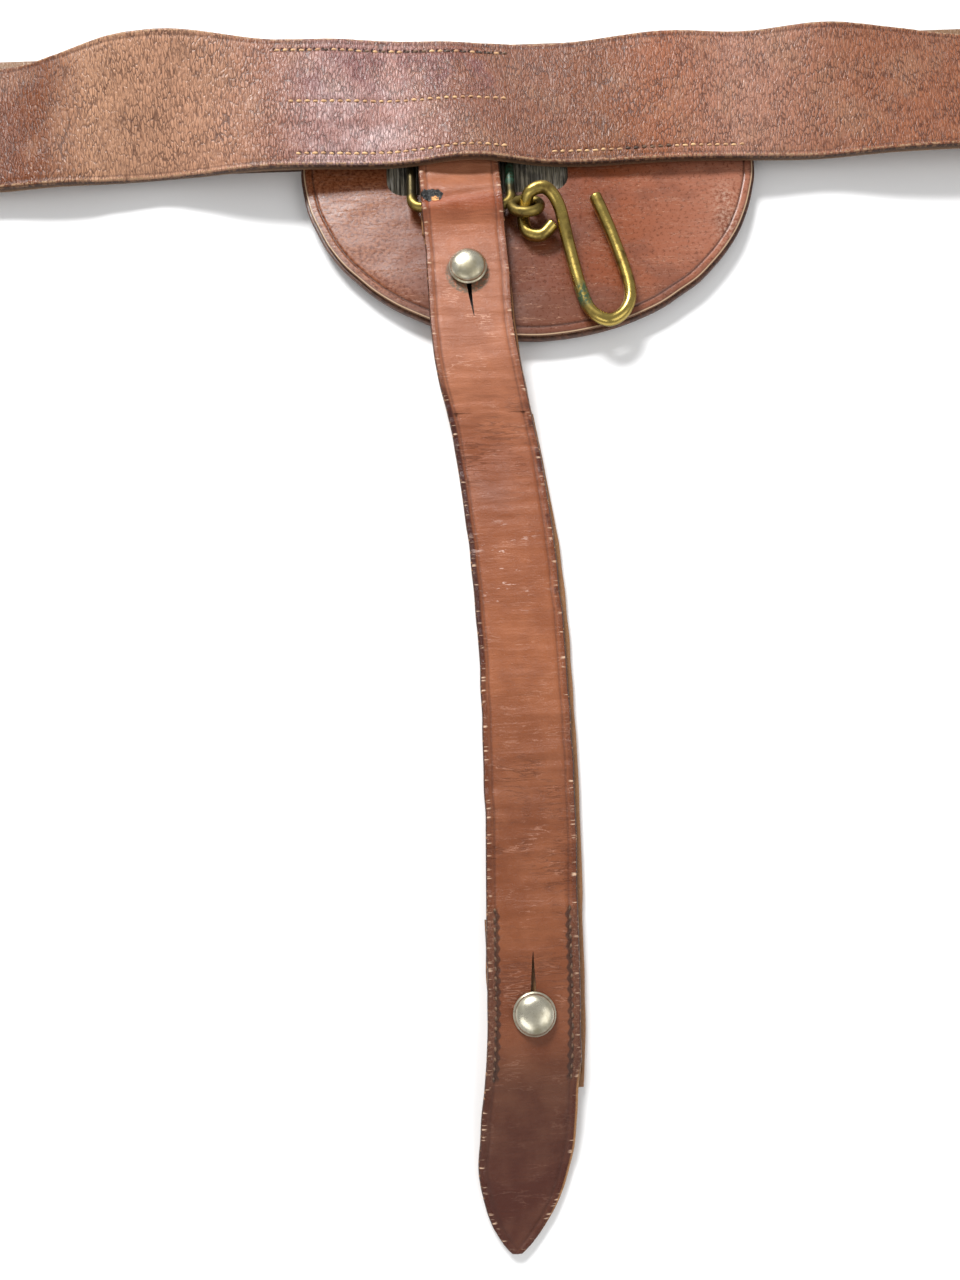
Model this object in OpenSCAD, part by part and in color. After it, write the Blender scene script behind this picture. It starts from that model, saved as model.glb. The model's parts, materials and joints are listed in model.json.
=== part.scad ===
// Leather waist belt with a half-moon guard, a brass hanger ring and hook, and a doubled
// sling closed by two studs. The belt lies unbuckled and folded once; +Z is up.

/* [Belt] */
// Width of the belt strap
belt_w = 42; // [40:1:44]
// Thickness of the belt leather
belt_t = 2.8; // [2.6:0.1:2.9]
// Radius of the hidden fold at the right end
fold_r = 10.5; // [10:0.5:12]
// Number of punched adjusting holes
hole_count = 5; // [3:1:5]
// Radius of each adjusting hole
hole_r = 2.5; // [2:0.1:3]

/* [Guard] */
// Half width of the half-moon guard
guard_a = 70; // [68:1:72]
// Depth of the half-moon guard below its centre line
guard_b = 59; // [57:1:61]
// Thickness of the guard's front ply
guard_front_t = 1.4; // [1.2:0.1:1.4]
// Thickness of the guard's backing ply
guard_back_t = 1.6; // [1.4:0.1:1.6]

/* [Sling] */
// Width of the sling strap
sling_w = 25; // [23:1:26]
// Thickness of the front ply
front_t = 2.0; // [1.8:0.1:2.0]
// Thickness of the rear ply
rear_t = 1.8; // [1.6:0.1:1.8]
// Radius of a stud head
stud_r = 5.7; // [5:0.1:6]

/* [Brass wire] */
// Radius of the hanger ring's wire
ring_r = 1.5; // [1.3:0.1:1.5]
// Radius of the hook's wire
hook_r = 1.9; // [1.6:0.1:1.9]
// Radius of the buckle's wire
buckle_r = 1.8; // [1.6:0.1:1.8]

/* [Hidden] */
$fn = 48;
gap = 0.2;

// Leather and metal colours
tan_leather = [0.48, 0.24, 0.15];
red_leather = [0.45, 0.20, 0.13];
raw_leather = [0.62, 0.38, 0.20];
brass = [0.62, 0.50, 0.20];
nickel = [0.60, 0.57, 0.50];
thread = [0.80, 0.66, 0.45];

// Belt run, from the turned-back chape on the left to the fold on the right
bar_x = -245;
fold_x = 215;
chape_lift = 1.3;
turn_r = buckle_r + 0.1 + belt_t;
bar_z = chape_lift + turn_r;
chape_end_x = -190;
flat_top = chape_lift + 2 * belt_t + gap;
tail_y = 7;
tail_tip_x = -184;
first_hole_x = -135;
hole_pitch = 25;
run_top = 9.4;
step_x = 4;

// Guard levels and place
guard_x = 22;
guard_y = -17;
guard_top_y = -13;
guard_z = belt_t + gap;
guard_mid_z = guard_z + guard_back_t;
guard_top_z = guard_mid_z + guard_front_t;
lining_t = 0.4;
cut_x0 = -22;
cut_x1 = 34;
cut_y = -27.7;
cut_r = 5;

// Hanger ring: a top bar in the tab and a bottom bar in the sling's loop
ring_x0 = -14.4;
ring_x1 = 15.8;
top_bar = [0, -9, 6.0];
low_bar = [0, -34.5, guard_top_z + gap + rear_t + 0.1 + ring_r];
eye_major = 4.3;
eye_centre = [20.2, -35.6, 10.2];
eye_tilt = 32;
tab_t = 1.3;
tab_half = 9;
tab_len = 15;

// Sling: places along Y, and its centre line as [Y, X] pairs
loop_y = -17;
split_y = -42;
bend_y = -160;
rear_end_y = -292;
tip_y = -327;
upper_stud_y = -55.5;
lower_stud_y = -268;
slit_w = 0.7;
sling_line = [[-16, 0], [-50, 1.7], [-80, 3], [-115, 9], [-160, 12.5], [-205, 13], [-245, 12],
    [-280, 10.5], [-327, 4]];
patch_t = 0.8;

// ---- Shared functions ----

function smooth(u) = let (v = min(1, max(0, u))) v * v * (3 - 2 * v);
function swell(x, centre, width) = exp(-pow((x - centre) / width, 2));

// Height of the belt's grain face above the table along its centre line
function belt_height(x) = run_top
    + 5.7 * swell(x, -80, 42) - 2.6 * swell(x, -143, 18) + 2.2 * swell(x, -35, 20)
    + 4.0 * swell(x, 2, 19) + 2.6 * swell(x, 66, 22) + 2.8 * swell(x, 125, 32)
    + (2 * fold_r - run_top) * smooth((x - 165) / 45)
    + (chape_lift + 2 * turn_r - run_top) * smooth((-180 - x) / 10)
    - (chape_lift + 2 * turn_r - flat_top) * smooth((x + 241) / 13) * smooth((-178 - x) / 14);

// Sideways tilt of the belt, positive when its upper edge stands higher
function belt_tilt(x) = 23 * swell(x, -93, 26) + 4 * swell(x, -35, 18) - 4.5 * swell(x, 8, 14)
    + 5.5 * swell(x, 66, 25) + 10 * swell(x, 113, 18) - 5 * swell(x, 162, 16);

function pointed(half, d, length) =
    let (u = min(1, max(0.004, d / length))) half * pow(1 - pow(1 - u, 2), 0.75);

// The strip's section runs from the grain face inwards; side x out points along the strip
function section(s) = [s[0] - s[1] * s[3], s[0] + s[1] * s[3],
    s[0] + s[1] * s[3] - s[2] * s[4], s[0] - s[1] * s[3] - s[2] * s[4]];

// A strip of leather through stations [grain point, side, outward normal, half width, thickness]
module strip(stations) {
    count = len(stations);
    points = [for (s = stations) for (p = section(s)) p];
    walls = [for (i = [0:count - 2]) for (a = [0:3])
        let (b = (a + 1) % 4, m = 4 * i, n = m + 4)
        for (t = [[m + a, m + b, n + b], [m + a, n + b, n + a]]) t];
    last = 4 * (count - 1);
    caps = [[3, 2, 1], [3, 1, 0], [last, last + 1, last + 2], [last, last + 2, last + 3]];
    polyhedron(points, concat(walls, caps), convexity = 10);
}

// Catmull-Rom curve through hand-chosen points
function blend_point(a, b, c, d, t) = 0.5 * (2 * b + (c - a) * t
    + (2 * a - 5 * b + 4 * c - d) * t * t + (3 * b - a - 3 * c + d) * t * t * t);
function curve(p, steps) = let (n = len(p)) concat(
    [for (i = [0:n - 2]) for (k = [0:steps - 1])
        blend_point(p[max(0, i - 1)], p[i], p[i + 1], p[min(n - 1, i + 2)], k / steps)],
    [p[n - 1]]);

function unit(v) = v / norm(v);
function turn_frame(normal, direction) = unit(normal - direction * (normal * direction));
function directions(p) = let (n = len(p))
    [for (i = [0:n - 1]) unit(p[min(n - 1, i + 1)] - p[max(0, i - 1)])];
function frames(d, i, normal) = i >= len(d) ? [] :
    let (next = turn_frame(normal, d[i])) concat([next], frames(d, i + 1, next));

// A round wire along a path, carrying its section without twist
module wire(path, radius, sides) {
    d = directions(path);
    normals = frames(d, 0, [0.1, 0.2, 1]);
    count = len(path);
    points = [for (i = [0:count - 1]) let (u = normals[i], v = cross(d[i], u))
        for (k = [0:sides - 1]) path[i] + radius * (u * cos(360 * k / sides) + v * sin(360 * k / sides))];
    walls = [for (i = [0:count - 2]) for (k = [0:sides - 1])
        let (a = sides * i + k, b = sides * i + (k + 1) % sides)
        for (t = [[a, b + sides, b], [a, a + sides, b + sides]]) t];
    caps = [[for (k = [0:sides - 1]) k], [for (k = [sides - 1:-1:0]) sides * (count - 1) + k]];
    polyhedron(points, concat(walls, caps), convexity = 6);
}

module rod(a, b, radius) {
    v = b - a;
    translate(a) rotate([0, acos(v[2] / norm(v)), atan2(v[1], v[0])]) cylinder(h = norm(v), r = radius);
}

// ---- Belt ----

function belt_station(x, offset = 0, side_shift = 0, half = belt_w / 2, t = belt_t) =
    let (a = belt_tilt(x), side = [0, cos(a), sin(a)], out = [0, -sin(a), cos(a)])
    [[x, 0, belt_height(x)] + side * side_shift - out * offset, side, out, half, t];

function chape_stations() = [for (x = [chape_end_x:-5:bar_x + 5])
    [[x, 0, chape_lift], [0, 1, 0], [0, 0, -1], belt_w / 2, belt_t]];
function turn_stations() = [for (a = [-90:-15:-255])
    [[bar_x + turn_r * cos(a), 0, bar_z + turn_r * sin(a)], [0, 1, 0], [cos(a), 0, sin(a)], belt_w / 2,
        belt_t]];
function front_stations() = [for (x = [bar_x:step_x:fold_x - 1]) belt_station(x)];
function fold_stations() = [for (a = [90:-15:-90])
    [[fold_x + fold_r * cos(a), tail_y * (90 - a) / 180, fold_r + fold_r * sin(a)],
        [0, 1, 0], [cos(a), 0, sin(a)], belt_w / 2, belt_t]];
function tail_stations() = [for (x = [fold_x:-8:tail_tip_x + 20])
    [[x, tail_y, 0], [0, 1, 0], [0, 0, -1], belt_w / 2, belt_t]];
function tip_stations() = [for (d = [18, 15, 12, 9, 6, 4, 2.5, 1, 0])
    [[tail_tip_x + d, tail_y, 0], [0, 1, 0], [0, 0, -1], pointed(belt_w / 2, d, 22), belt_t]];

// The strap's long run and its end turned back round the buckle's bar
module belt() color(tan_leather) difference() {
    strip(concat(chape_stations(), turn_stations(), front_stations(), [belt_station(fold_x)]));
    translate([bar_x - 8, -3, -1]) cube([20, 6, 20]);
}

module belt_fold() color(tan_leather) strip(fold_stations());

// The strap's free end, which lies under the long run
module belt_tail() color(tan_leather) difference() {
    strip(concat(tail_stations(), tip_stations()));
    for (i = [0:hole_count - 1])
        translate([first_hole_x + i * hole_pitch, tail_y, -1]) cylinder(h = belt_t + 2, r = hole_r);
}

// A flat leather band sewn into a loop around the belt
module keeper(x, width) {
    wall = 1.2;
    half = belt_w / 2 + 0.5;
    height = flat_top + 4.6;
    color(red_leather) translate([x, 0, 0]) difference() {
        translate([0, -half - wall, 0]) cube([width, 2 * (half + wall), height + wall]);
        translate([-1, -half, wall]) cube([width + 2, 2 * half, height - wall]);
    }
}

module keeper_fixed() keeper(-226, 10);
module keeper_sliding() keeper(-212, 9);

// ---- Buckle ----

frame_len = 30;
frame_half = belt_w / 2 + 3;
corner_r = 5;

module frame_corner(x, y, turn) translate([x, y, bar_z]) rotate([0, 0, turn])
    rotate_extrude(angle = 90) translate([corner_r, 0]) circle(r = buckle_r, $fn = 32);

module buckle_frame() color(brass) {
    far_x = bar_x - frame_len;
    rod([bar_x, -frame_half, bar_z], [bar_x, frame_half, bar_z], buckle_r);
    rod([far_x, -frame_half + corner_r, bar_z], [far_x, frame_half - corner_r, bar_z], buckle_r);
    for (s = [-1, 1]) {
        rod([bar_x, s * frame_half, bar_z], [far_x + corner_r, s * frame_half, bar_z], buckle_r);
        translate([bar_x, s * frame_half, bar_z]) sphere(r = buckle_r);
    }
    frame_corner(far_x + corner_r, frame_half - corner_r, 90);
    frame_corner(far_x + corner_r, -frame_half + corner_r, 180);
}

module buckle_prong() color(brass) {
    ring_out = buckle_r + 1.5;
    translate([bar_x, -1.8, bar_z]) rotate([-90, 0, 0]) difference() {
        cylinder(h = 3.6, r = ring_out);
        translate([0, 0, -1]) cylinder(h = 6, r = buckle_r + 0.06);
    }
    rod([bar_x - 2.4, 0, bar_z + buckle_r + 1.45], [bar_x - frame_len - 2.5, 0,
        bar_z + buckle_r + 1.45], 1.3);
}

// ---- Stitching ----

stitch_l = 1.7;
stitch_pitch = 2.5;

module stitch(length) translate([-length / 2, -0.35, 0.03]) cube([length, 0.7, 0.45]);

// A row of stitches lying along the belt's grain face
module belt_row(x0, x1, y) color(thread) for (x = [x0:stitch_pitch:x1]) {
    s = belt_station(x);
    ahead = belt_height(x + 1) - belt_height(x - 1) + y * (sin(belt_tilt(x + 1)) - sin(belt_tilt(x - 1)));
    translate(s[0] + s[1] * y) rotate([belt_tilt(x), -atan(ahead / 2), 0]) translate([0, 0, 0.1])
        stitch(stitch_l);
}

module patch_stitching() {
    belt_row(-54, 17, 17);
    belt_row(-50, 16, 0);
}

module guard_stitching() {
    belt_row(-48, 16, -17);
    belt_row(30, 88, -17);
}

module chape_stitching() color(thread) for (x = [-202, -197]) for (y = [-16:stitch_pitch:16])
    translate([x, y, flat_top]) rotate([0, 0, 90]) stitch(stitch_l);

module sling_stitching() color([0.22, 0.12, 0.08]) for (y = [-283:stitch_pitch:-243]) for (s = [-1, 1])
    translate([sling_x(y) + s * 10.1, y, front_top(y)]) rotate([0, 0, 90]) stitch(stitch_l);

// ---- Hanger behind the belt ----

// Leather patch under the belt that spreads the ring's pull
module hanger_patch() color(tan_leather) strip([for (x = [bar_x + 49 * step_x:step_x:16])
    belt_station(x, belt_t + 0.3, 5, 14, 0.9)]);

// Tab wrapped round the ring's top bar, with its doubled end sewn under the patch
module ring_tab() color(red_leather) translate([-tab_half, 0, 0]) rotate([90, 0, 90])
    linear_extrude(2 * tab_half) difference() {
        union() {
            translate([top_bar[1], top_bar[2]]) circle(r = ring_r + 0.1 + tab_t);
            translate([top_bar[1], top_bar[2] + ring_r - 1.6]) square([tab_len, 2 * tab_t - 0.1]);
        }
        translate([top_bar[1], top_bar[2]]) circle(r = ring_r + 0.1);
    }

// Closed rectangle of wire whose low corner carries an eye
module hanger_ring() color(brass) {
    $fn = 12;
    corners = [[ring_x0, top_bar[1], top_bar[2]], [ring_x1, top_bar[1], top_bar[2]],
        [ring_x1, low_bar[1], low_bar[2]], [ring_x0, low_bar[1], low_bar[2]]];
    for (i = [0:3]) {
        rod(corners[i], corners[(i + 1) % 4], ring_r);
        translate(corners[i]) sphere(r = ring_r);
    }
    translate(eye_centre) rotate([-eye_tilt, 0, 0]) rotate_extrude($fn = 36)
        translate([eye_major, 0]) circle(r = ring_r);
}

// ---- Guard ----

function guard_outline(a, b) = let (t0 = asin((guard_top_y - guard_y) / b))
    [for (i = [0:72]) let (t = t0 - i * (180 + 2 * t0) / 72) [guard_x + a * cos(t), guard_y + b * sin(t)]];

module guard_plate(a, b, z, t) translate([0, 0, z]) linear_extrude(t) polygon(guard_outline(a, b));

module cut_out(z, t) translate([0, 0, z]) linear_extrude(t) {
    translate([cut_x0 + cut_r, cut_y]) square([cut_x1 - cut_x0 - 2 * cut_r, 20]);
    translate([cut_x0, cut_y + cut_r]) square([cut_x1 - cut_x0, 15]);
    for (x = [cut_x0 + cut_r, cut_x1 - cut_r]) translate([x, cut_y + cut_r]) circle(r = cut_r);
}

module guard_front() color(red_leather) difference() {
    guard_plate(guard_a, guard_b, guard_mid_z, guard_front_t);
    cut_out(guard_mid_z - 1, guard_front_t + 2);
}

module lining_block(extra, z, t) translate([cut_x0 - 5 - extra, cut_y - 5 - extra, z])
    cube([cut_x1 - cut_x0 + 10 + 2 * extra, guard_top_y - cut_y + 5 + extra + (extra > 0 ? 1 : 0), t]);

module guard_backing() color([0.30, 0.15, 0.10]) difference() {
    guard_plate(guard_a + 0.6, guard_b + 0.6, guard_z, guard_back_t);
    lining_block(0.1, guard_mid_z - lining_t, 2);
}

module guard_lining() color([0.25, 0.24, 0.21]) lining_block(0, guard_mid_z - lining_t + 0.01,
    lining_t - 0.02);

// ---- Hook ----

hook_z = guard_top_z + 0.5 + hook_r;
hook_points = [[27.8, -42.1, 9.8], [24.6, -44.7, 8.9], [20.6, -43.4, hook_z], [19.4, -39.2, hook_z],
    [20.1, -35.6, 10.2], [21.4, -33.2, 13.4], [26, -32.6, 14.2], [29.9, -37, 12], [32.5, -48, 9],
    [35.4, -62.5, hook_z], [38.2, -70, hook_z], [43.6, -73, hook_z], [48.6, -69.5, hook_z],
    [50, -62, hook_z], [46, -45.5, hook_z], [41.5, -33, 9.4]];

module hook() color(brass) wire(curve(hook_points, 5), hook_r, 12);

// ---- Sling ----

function line_slope(i) = let (n = len(sling_line) - 1, a = max(0, i - 1), b = min(n, i + 1))
    (sling_line[b][1] - sling_line[a][1]) / (sling_line[b][0] - sling_line[a][0]);
function line_span(y, i = 0) = i >= len(sling_line) - 2 || y >= sling_line[i + 1][0] ? i : line_span(y,
    i + 1);
function hermite(u, x0, x1, m0, m1) = x0 * (2 * pow(u, 3) - 3 * u * u + 1) + m0 * (pow(u, 3) - 2 * u * u + u)
    + x1 * (3 * u * u - 2 * pow(u, 3)) + m1 * (pow(u, 3) - u * u);
function sling_x(y) = let (i = line_span(y), a = sling_line[i], b = sling_line[i + 1], h = b[0] - a[0])
    hermite((y - a[0]) / h, a[1], b[1], line_slope(i) * h, line_slope(i + 1) * h);
function rear_shift(y) = 0.8 * smooth((-100 - y) / 50);

// Underside of the rear ply: on the guard, then down to the table
function rear_z(y) = (guard_top_z + gap) * (1 - smooth((-80 - y) / 34));
// The front ply rises over the ring's bar and the buttonhole patch, then drops past the rear ply
function bar_rise(y) = (0.2 + 2 * ring_r) * smooth((-24.5 - y) / 5) * smooth((y + 41) / 4.5);
function patch_rise(y) = patch_t * smooth((-236 - y) / 6) * smooth((y + 290) / 5);
function end_drop(y) = (rear_t + gap) * smooth((-293 - y) / 14);
function front_top(y) = rear_z(y) + rear_t + gap + front_t + bar_rise(y) + patch_rise(y) - end_drop(y);

function front_stations_of(list) = [for (y = list)
    [[sling_x(y), y, front_top(y)], [1, 0, 0], [0, 0, 1],
        pointed(sling_w / 2, y - tip_y, 27), front_t]];
function rear_stations_of(list) = [for (y = list)
    [[sling_x(y) + rear_shift(y), y, rear_z(y) + rear_t], [1, 0, 0], [0, 0, 1], sling_w / 2 - 0.3, rear_t]];

// Fold of the strap above the ring's bar, as one strip round the turn
module sling_loop() color(red_leather) {
    turn_out = (rear_t + front_t + gap) / 2;
    turn_z = rear_z(loop_y) + turn_out;
    outer = [for (y = [split_y + 0.2:1.5:loop_y - 1.7]) y];
    upper = [for (y = outer) [[sling_x(y), y, front_top(y)], [-1, 0, 0], [0, 0, 1], sling_w / 2, front_t]];
    round_end = [for (a = [90:-22.5:-90]) [[0, loop_y - turn_out + turn_out * cos(a),
        turn_z + turn_out * sin(a)],
        [-1, 0, 0], [0, cos(a), sin(a)], sling_w / 2, front_t + (rear_t - front_t) * (90 - a) / 180]];
    lower = [for (y = [loop_y - 3.5:-1.5:split_y + 0.2])
        [[sling_x(y), y, rear_z(y)], [-1, 0, 0], [0, 0, -1], sling_w / 2, rear_t]];
    strip(concat(upper, round_end, lower));
}

module buttonhole(y, toward) {
    translate([sling_x(y), y, -1]) cylinder(h = 20, r = 2.4);
    translate([sling_x(y) - slit_w / 2, toward > 0 ? y : y - 16, -1]) cube([slit_w, 16, 20]);
}

module stud_hole(y) translate([sling_x(y), y, rear_z(y) - 1]) {
    cylinder(h = rear_t + 2, r = 1.5);
    cylinder(h = 1.85, r = 3.7);
}

upper_y = [for (y = [split_y - 0.2:-4:bend_y + 0.4]) y, bend_y + 0.2];
lower_y = [for (y = [bend_y - 0.2:-4:-296]) y];
tip_list = [-299, -302, -305, -308, -311, -314, -317, -320, -322, -324, -325.5, -326.5, -327];

module sling_front_upper() color(red_leather) difference() {
    strip(front_stations_of(upper_y));
    buttonhole(upper_stud_y, -1);
}

module sling_rear_upper() color(raw_leather) difference() {
    strip(rear_stations_of(upper_y));
    stud_hole(upper_stud_y);
}

module sling_front_lower() color(red_leather) difference() {
    strip(front_stations_of(concat(lower_y, tip_list)));
    buttonhole(lower_stud_y, 1);
}

module sling_rear_lower() color(raw_leather) difference() {
    strip(rear_stations_of([for (y = lower_y) if (y > rear_end_y) y]));
    stud_hole(lower_stud_y);
}

module buttonhole_patch() color(raw_leather) difference() {
    strip([for (y = [-244:-4:-284]) [[sling_x(y), y, rear_t + 0.1 + patch_t], [1, 0, 0], [0, 0, 1], 11.5,
        patch_t]]);
    buttonhole(lower_stud_y, 1);
}

// ---- Studs ----

// A domed head on a neck, tapped from below for its screw
module stud(y) color(nickel) {
    seat = rear_z(y) + rear_t;
    head_z = front_top(y) + 0.15;
    dome_h = 3.4;
    ball_r = (stud_r * stud_r + dome_h * dome_h) / (2 * dome_h);
    dome_angle = asin(stud_r / ball_r);
    dome = [for (i = [0:10]) let (a = dome_angle * (1 - i / 10))
        [ball_r * sin(a), head_z + 0.5 + dome_h - ball_r * (1 - cos(a))]];
    translate([sling_x(y), y, 0]) rotate_extrude() polygon(concat(
        [[1.25, seat], [2.1, seat], [2.1, head_z], [stud_r, head_z]], dome, [[0, seat + 3.5], [1.25,
            seat + 3.5]]));
}

module stud_screw(y) color(nickel) translate([sling_x(y), y, rear_z(y)]) difference() {
    union() {
        translate([0, 0, 0.05]) cylinder(h = 0.75, r = 3.6);
        cylinder(h = rear_t + 3.2, r = 1.2);
    }
    translate([-5, -0.3, -0.1]) cube([10, 0.6, 0.5]);
}

module upper_stud() stud(upper_stud_y);
module upper_stud_screw() stud_screw(upper_stud_y);
module lower_stud() stud(lower_stud_y);
module lower_stud_screw() stud_screw(lower_stud_y);

belt();
belt_fold();
belt_tail();
keeper_fixed();
keeper_sliding();
buckle_frame();
buckle_prong();
chape_stitching();
hanger_patch();
ring_tab();
patch_stitching();
guard_front();
guard_backing();
guard_lining();
guard_stitching();
hanger_ring();
hook();
sling_loop();
sling_front_upper();
sling_rear_upper();
sling_front_lower();
sling_rear_lower();
buttonhole_patch();
sling_stitching();
upper_stud();
upper_stud_screw();
lower_stud();
lower_stud_screw();
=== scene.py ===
import json
import math
import random

import bmesh
import bpy
import numpy as np
from mathutils import Matrix, Vector
from mathutils.bvhtree import BVHTree


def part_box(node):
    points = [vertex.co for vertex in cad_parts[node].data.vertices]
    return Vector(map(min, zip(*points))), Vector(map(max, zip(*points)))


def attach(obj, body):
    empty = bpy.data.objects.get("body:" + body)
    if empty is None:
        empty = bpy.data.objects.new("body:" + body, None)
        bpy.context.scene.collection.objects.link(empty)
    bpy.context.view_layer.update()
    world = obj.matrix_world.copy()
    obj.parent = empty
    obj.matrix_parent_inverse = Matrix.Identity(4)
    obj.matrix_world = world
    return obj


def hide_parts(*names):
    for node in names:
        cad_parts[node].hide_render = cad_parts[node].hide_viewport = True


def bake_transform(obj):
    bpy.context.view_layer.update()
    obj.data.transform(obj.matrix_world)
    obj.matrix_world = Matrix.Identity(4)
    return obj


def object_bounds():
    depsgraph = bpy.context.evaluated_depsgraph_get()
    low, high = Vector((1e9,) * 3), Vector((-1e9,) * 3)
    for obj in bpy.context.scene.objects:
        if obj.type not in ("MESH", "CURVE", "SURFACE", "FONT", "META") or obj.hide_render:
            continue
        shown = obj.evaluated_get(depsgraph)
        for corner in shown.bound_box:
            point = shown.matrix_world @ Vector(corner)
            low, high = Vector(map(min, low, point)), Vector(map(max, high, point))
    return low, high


# A leather sword belt with a half-moon guard, a brass ring and hook, and a doubled sling.
# Everything is in metres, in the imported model's frame. Every leather piece carries a UV map in
# metres (across, along), so that its grain stays on the leather when a joint moves.

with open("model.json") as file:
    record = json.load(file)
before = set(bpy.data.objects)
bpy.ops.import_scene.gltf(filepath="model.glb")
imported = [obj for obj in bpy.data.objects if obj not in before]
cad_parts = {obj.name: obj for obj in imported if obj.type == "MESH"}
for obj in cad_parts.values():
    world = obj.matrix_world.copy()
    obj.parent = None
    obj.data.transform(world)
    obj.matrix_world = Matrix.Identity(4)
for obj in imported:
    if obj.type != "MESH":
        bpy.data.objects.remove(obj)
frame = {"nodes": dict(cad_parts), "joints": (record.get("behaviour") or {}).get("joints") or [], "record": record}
cad_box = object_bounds()
MM = 0.001
UNDER_SHIFT = 0.2    # moves a strip's flesh side aside in its UV map, so that the two sides differ


# ---- Camera ----

def add_camera():
    tilt, roll = math.radians(10.73), 0.040
    level = Vector((roll, math.sqrt(1 - roll * roll), 0))
    up = level * math.cos(tilt) + Vector((0, 0, 1)) * math.sin(tilt)
    forward = level * math.sin(tilt) - Vector((0, 0, 1)) * math.cos(tilt)
    right = forward.cross(up)
    data = bpy.data.cameras.new("camera")
    data.sensor_fit = "VERTICAL"
    data.sensor_height = 36
    data.lens = 27
    camera = bpy.data.objects.new("camera", data)
    turn = Matrix((right, up, -forward)).transposed().to_4x4()
    camera.matrix_world = Matrix.Translation((-1 * MM, -218 * MM, 271 * MM)) @ turn
    bpy.context.scene.collection.objects.link(camera)
    bpy.context.scene.camera = camera


add_camera()


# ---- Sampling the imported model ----

def mesh_tree(*objects):
    points, cells = [], []
    for obj in objects:
        cells += [[len(points) + i for i in p.vertices] for p in obj.data.polygons]
        points += [v.co.copy() for v in obj.data.vertices]
    return BVHTree.FromPolygons(points, cells)


def tree_of(*nodes):
    return mesh_tree(*(frame["nodes"][n] for n in nodes))


def hit(tree, start, direction):
    found = tree.ray_cast(Vector(start), Vector(direction))[0]
    return None if found is None else np.array(found)


def smoothed(values, sigma):
    """A moving Gaussian mean over evenly spaced values, with the ends held."""
    reach = int(3 * sigma) + 1
    weights = np.exp(-0.5 * (np.arange(-reach, reach + 1) / sigma) ** 2)
    padded = np.concatenate([np.full(reach, values[0]), values, np.full(reach, values[-1])])
    return np.convolve(padded, weights / weights.sum(), "valid")


def unit(v):
    v = np.asarray(v, float)
    return v / np.maximum(np.linalg.norm(v, axis=-1, keepdims=True), 1e-12)


def ease(u):
    u = np.clip(u, 0, 1)
    return u * u * (3 - 2 * u)


def between(x, low, high, soft_low, soft_high=None):
    """1 from low to high, easing in over soft_low inside low and out over soft_high inside high."""
    return ease((x - low) / soft_low) * ease((high - x) / (soft_high or soft_low))


def circle(x, y, radius, count):
    return [(x + radius * math.cos(a), y + radius * math.sin(a))
            for a in np.linspace(0, 2 * math.pi, count, endpoint=False)]


def swell(x, centre, width):
    return np.exp(-((x - centre) / width) ** 2)


def value_noise(u, v, seed):
    """Smooth noise from -1 to 1 with one cell per unit."""
    table = np.random.RandomState(seed).uniform(-1, 1, (256, 256))
    iu, iv = np.floor(u).astype(int), np.floor(v).astype(int)
    fu, fv = ease(u - iu), ease(v - iv)
    a, b = table[iu % 256, iv % 256], table[(iu + 1) % 256, iv % 256]
    c, d = table[iu % 256, (iv + 1) % 256], table[(iu + 1) % 256, (iv + 1) % 256]
    return (a * (1 - fu) + b * fu) * (1 - fv) + (c * (1 - fu) + d * fu) * fv


# ---- Mesh building ----

def new_object(name, points, faces, uvs=None, smooth=True):
    mesh = bpy.data.meshes.new(name)
    mesh.from_pydata([tuple(p) for p in points], [], [tuple(f) for f in faces])
    if uvs is not None:
        layer = mesh.uv_layers.new(name="leather")
        index = np.zeros(len(mesh.loops), int)
        mesh.loops.foreach_get("vertex_index", index)
        layer.data.foreach_set("uv", np.asarray(uvs, float)[index].ravel())
    mesh.validate()
    if smooth:
        mesh.shade_smooth()
    obj = bpy.data.objects.new(name, mesh)
    bpy.context.scene.collection.objects.link(obj)
    return obj


def ring_cells(rings, sides, base=0):
    """Four-sided faces between neighbouring rings of points, which are numbered from base."""
    return [(base + i * sides + k, base + i * sides + (k + 1) % sides, base + j * sides + (k + 1) % sides,
             base + j * sides + k) for i, j in zip(rings, rings[1:]) for k in range(sides)]


def sleeve_cells(rings, sides, closed=False, base=0):
    """The faces of a sleeve of rings. An open sleeve gets a cap at each end."""
    if closed:
        return ring_cells([*range(rings), 0], sides, base)
    last = base + (rings - 1) * sides
    caps = [tuple(range(base, base + sides))[::-1], tuple(range(last, last + sides))]
    return ring_cells(range(rings), sides, base) + caps


def along_x(points):
    """The X direction once for each point."""
    return np.broadcast_to((1.0, 0.0, 0.0), (len(points), 3))


def run_length(points):
    """Length along a run of points, at each point."""
    return np.concatenate([[0], np.cumsum(np.linalg.norm(np.diff(points, axis=0), axis=1))])


def store(obj, **fields):
    """Keeps one number for each point of the mesh under each name."""
    for key, values in fields.items():
        attribute = obj.data.attributes.new(key, "FLOAT", "POINT")
        attribute.data.foreach_set("value", np.asarray(values, np.float32).ravel())
    return obj


def outward(obj):
    mesh = bmesh.new()
    mesh.from_mesh(obj.data)
    bmesh.ops.recalc_face_normals(mesh, faces=mesh.faces)
    mesh.to_mesh(obj.data)
    mesh.free()
    return obj


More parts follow.
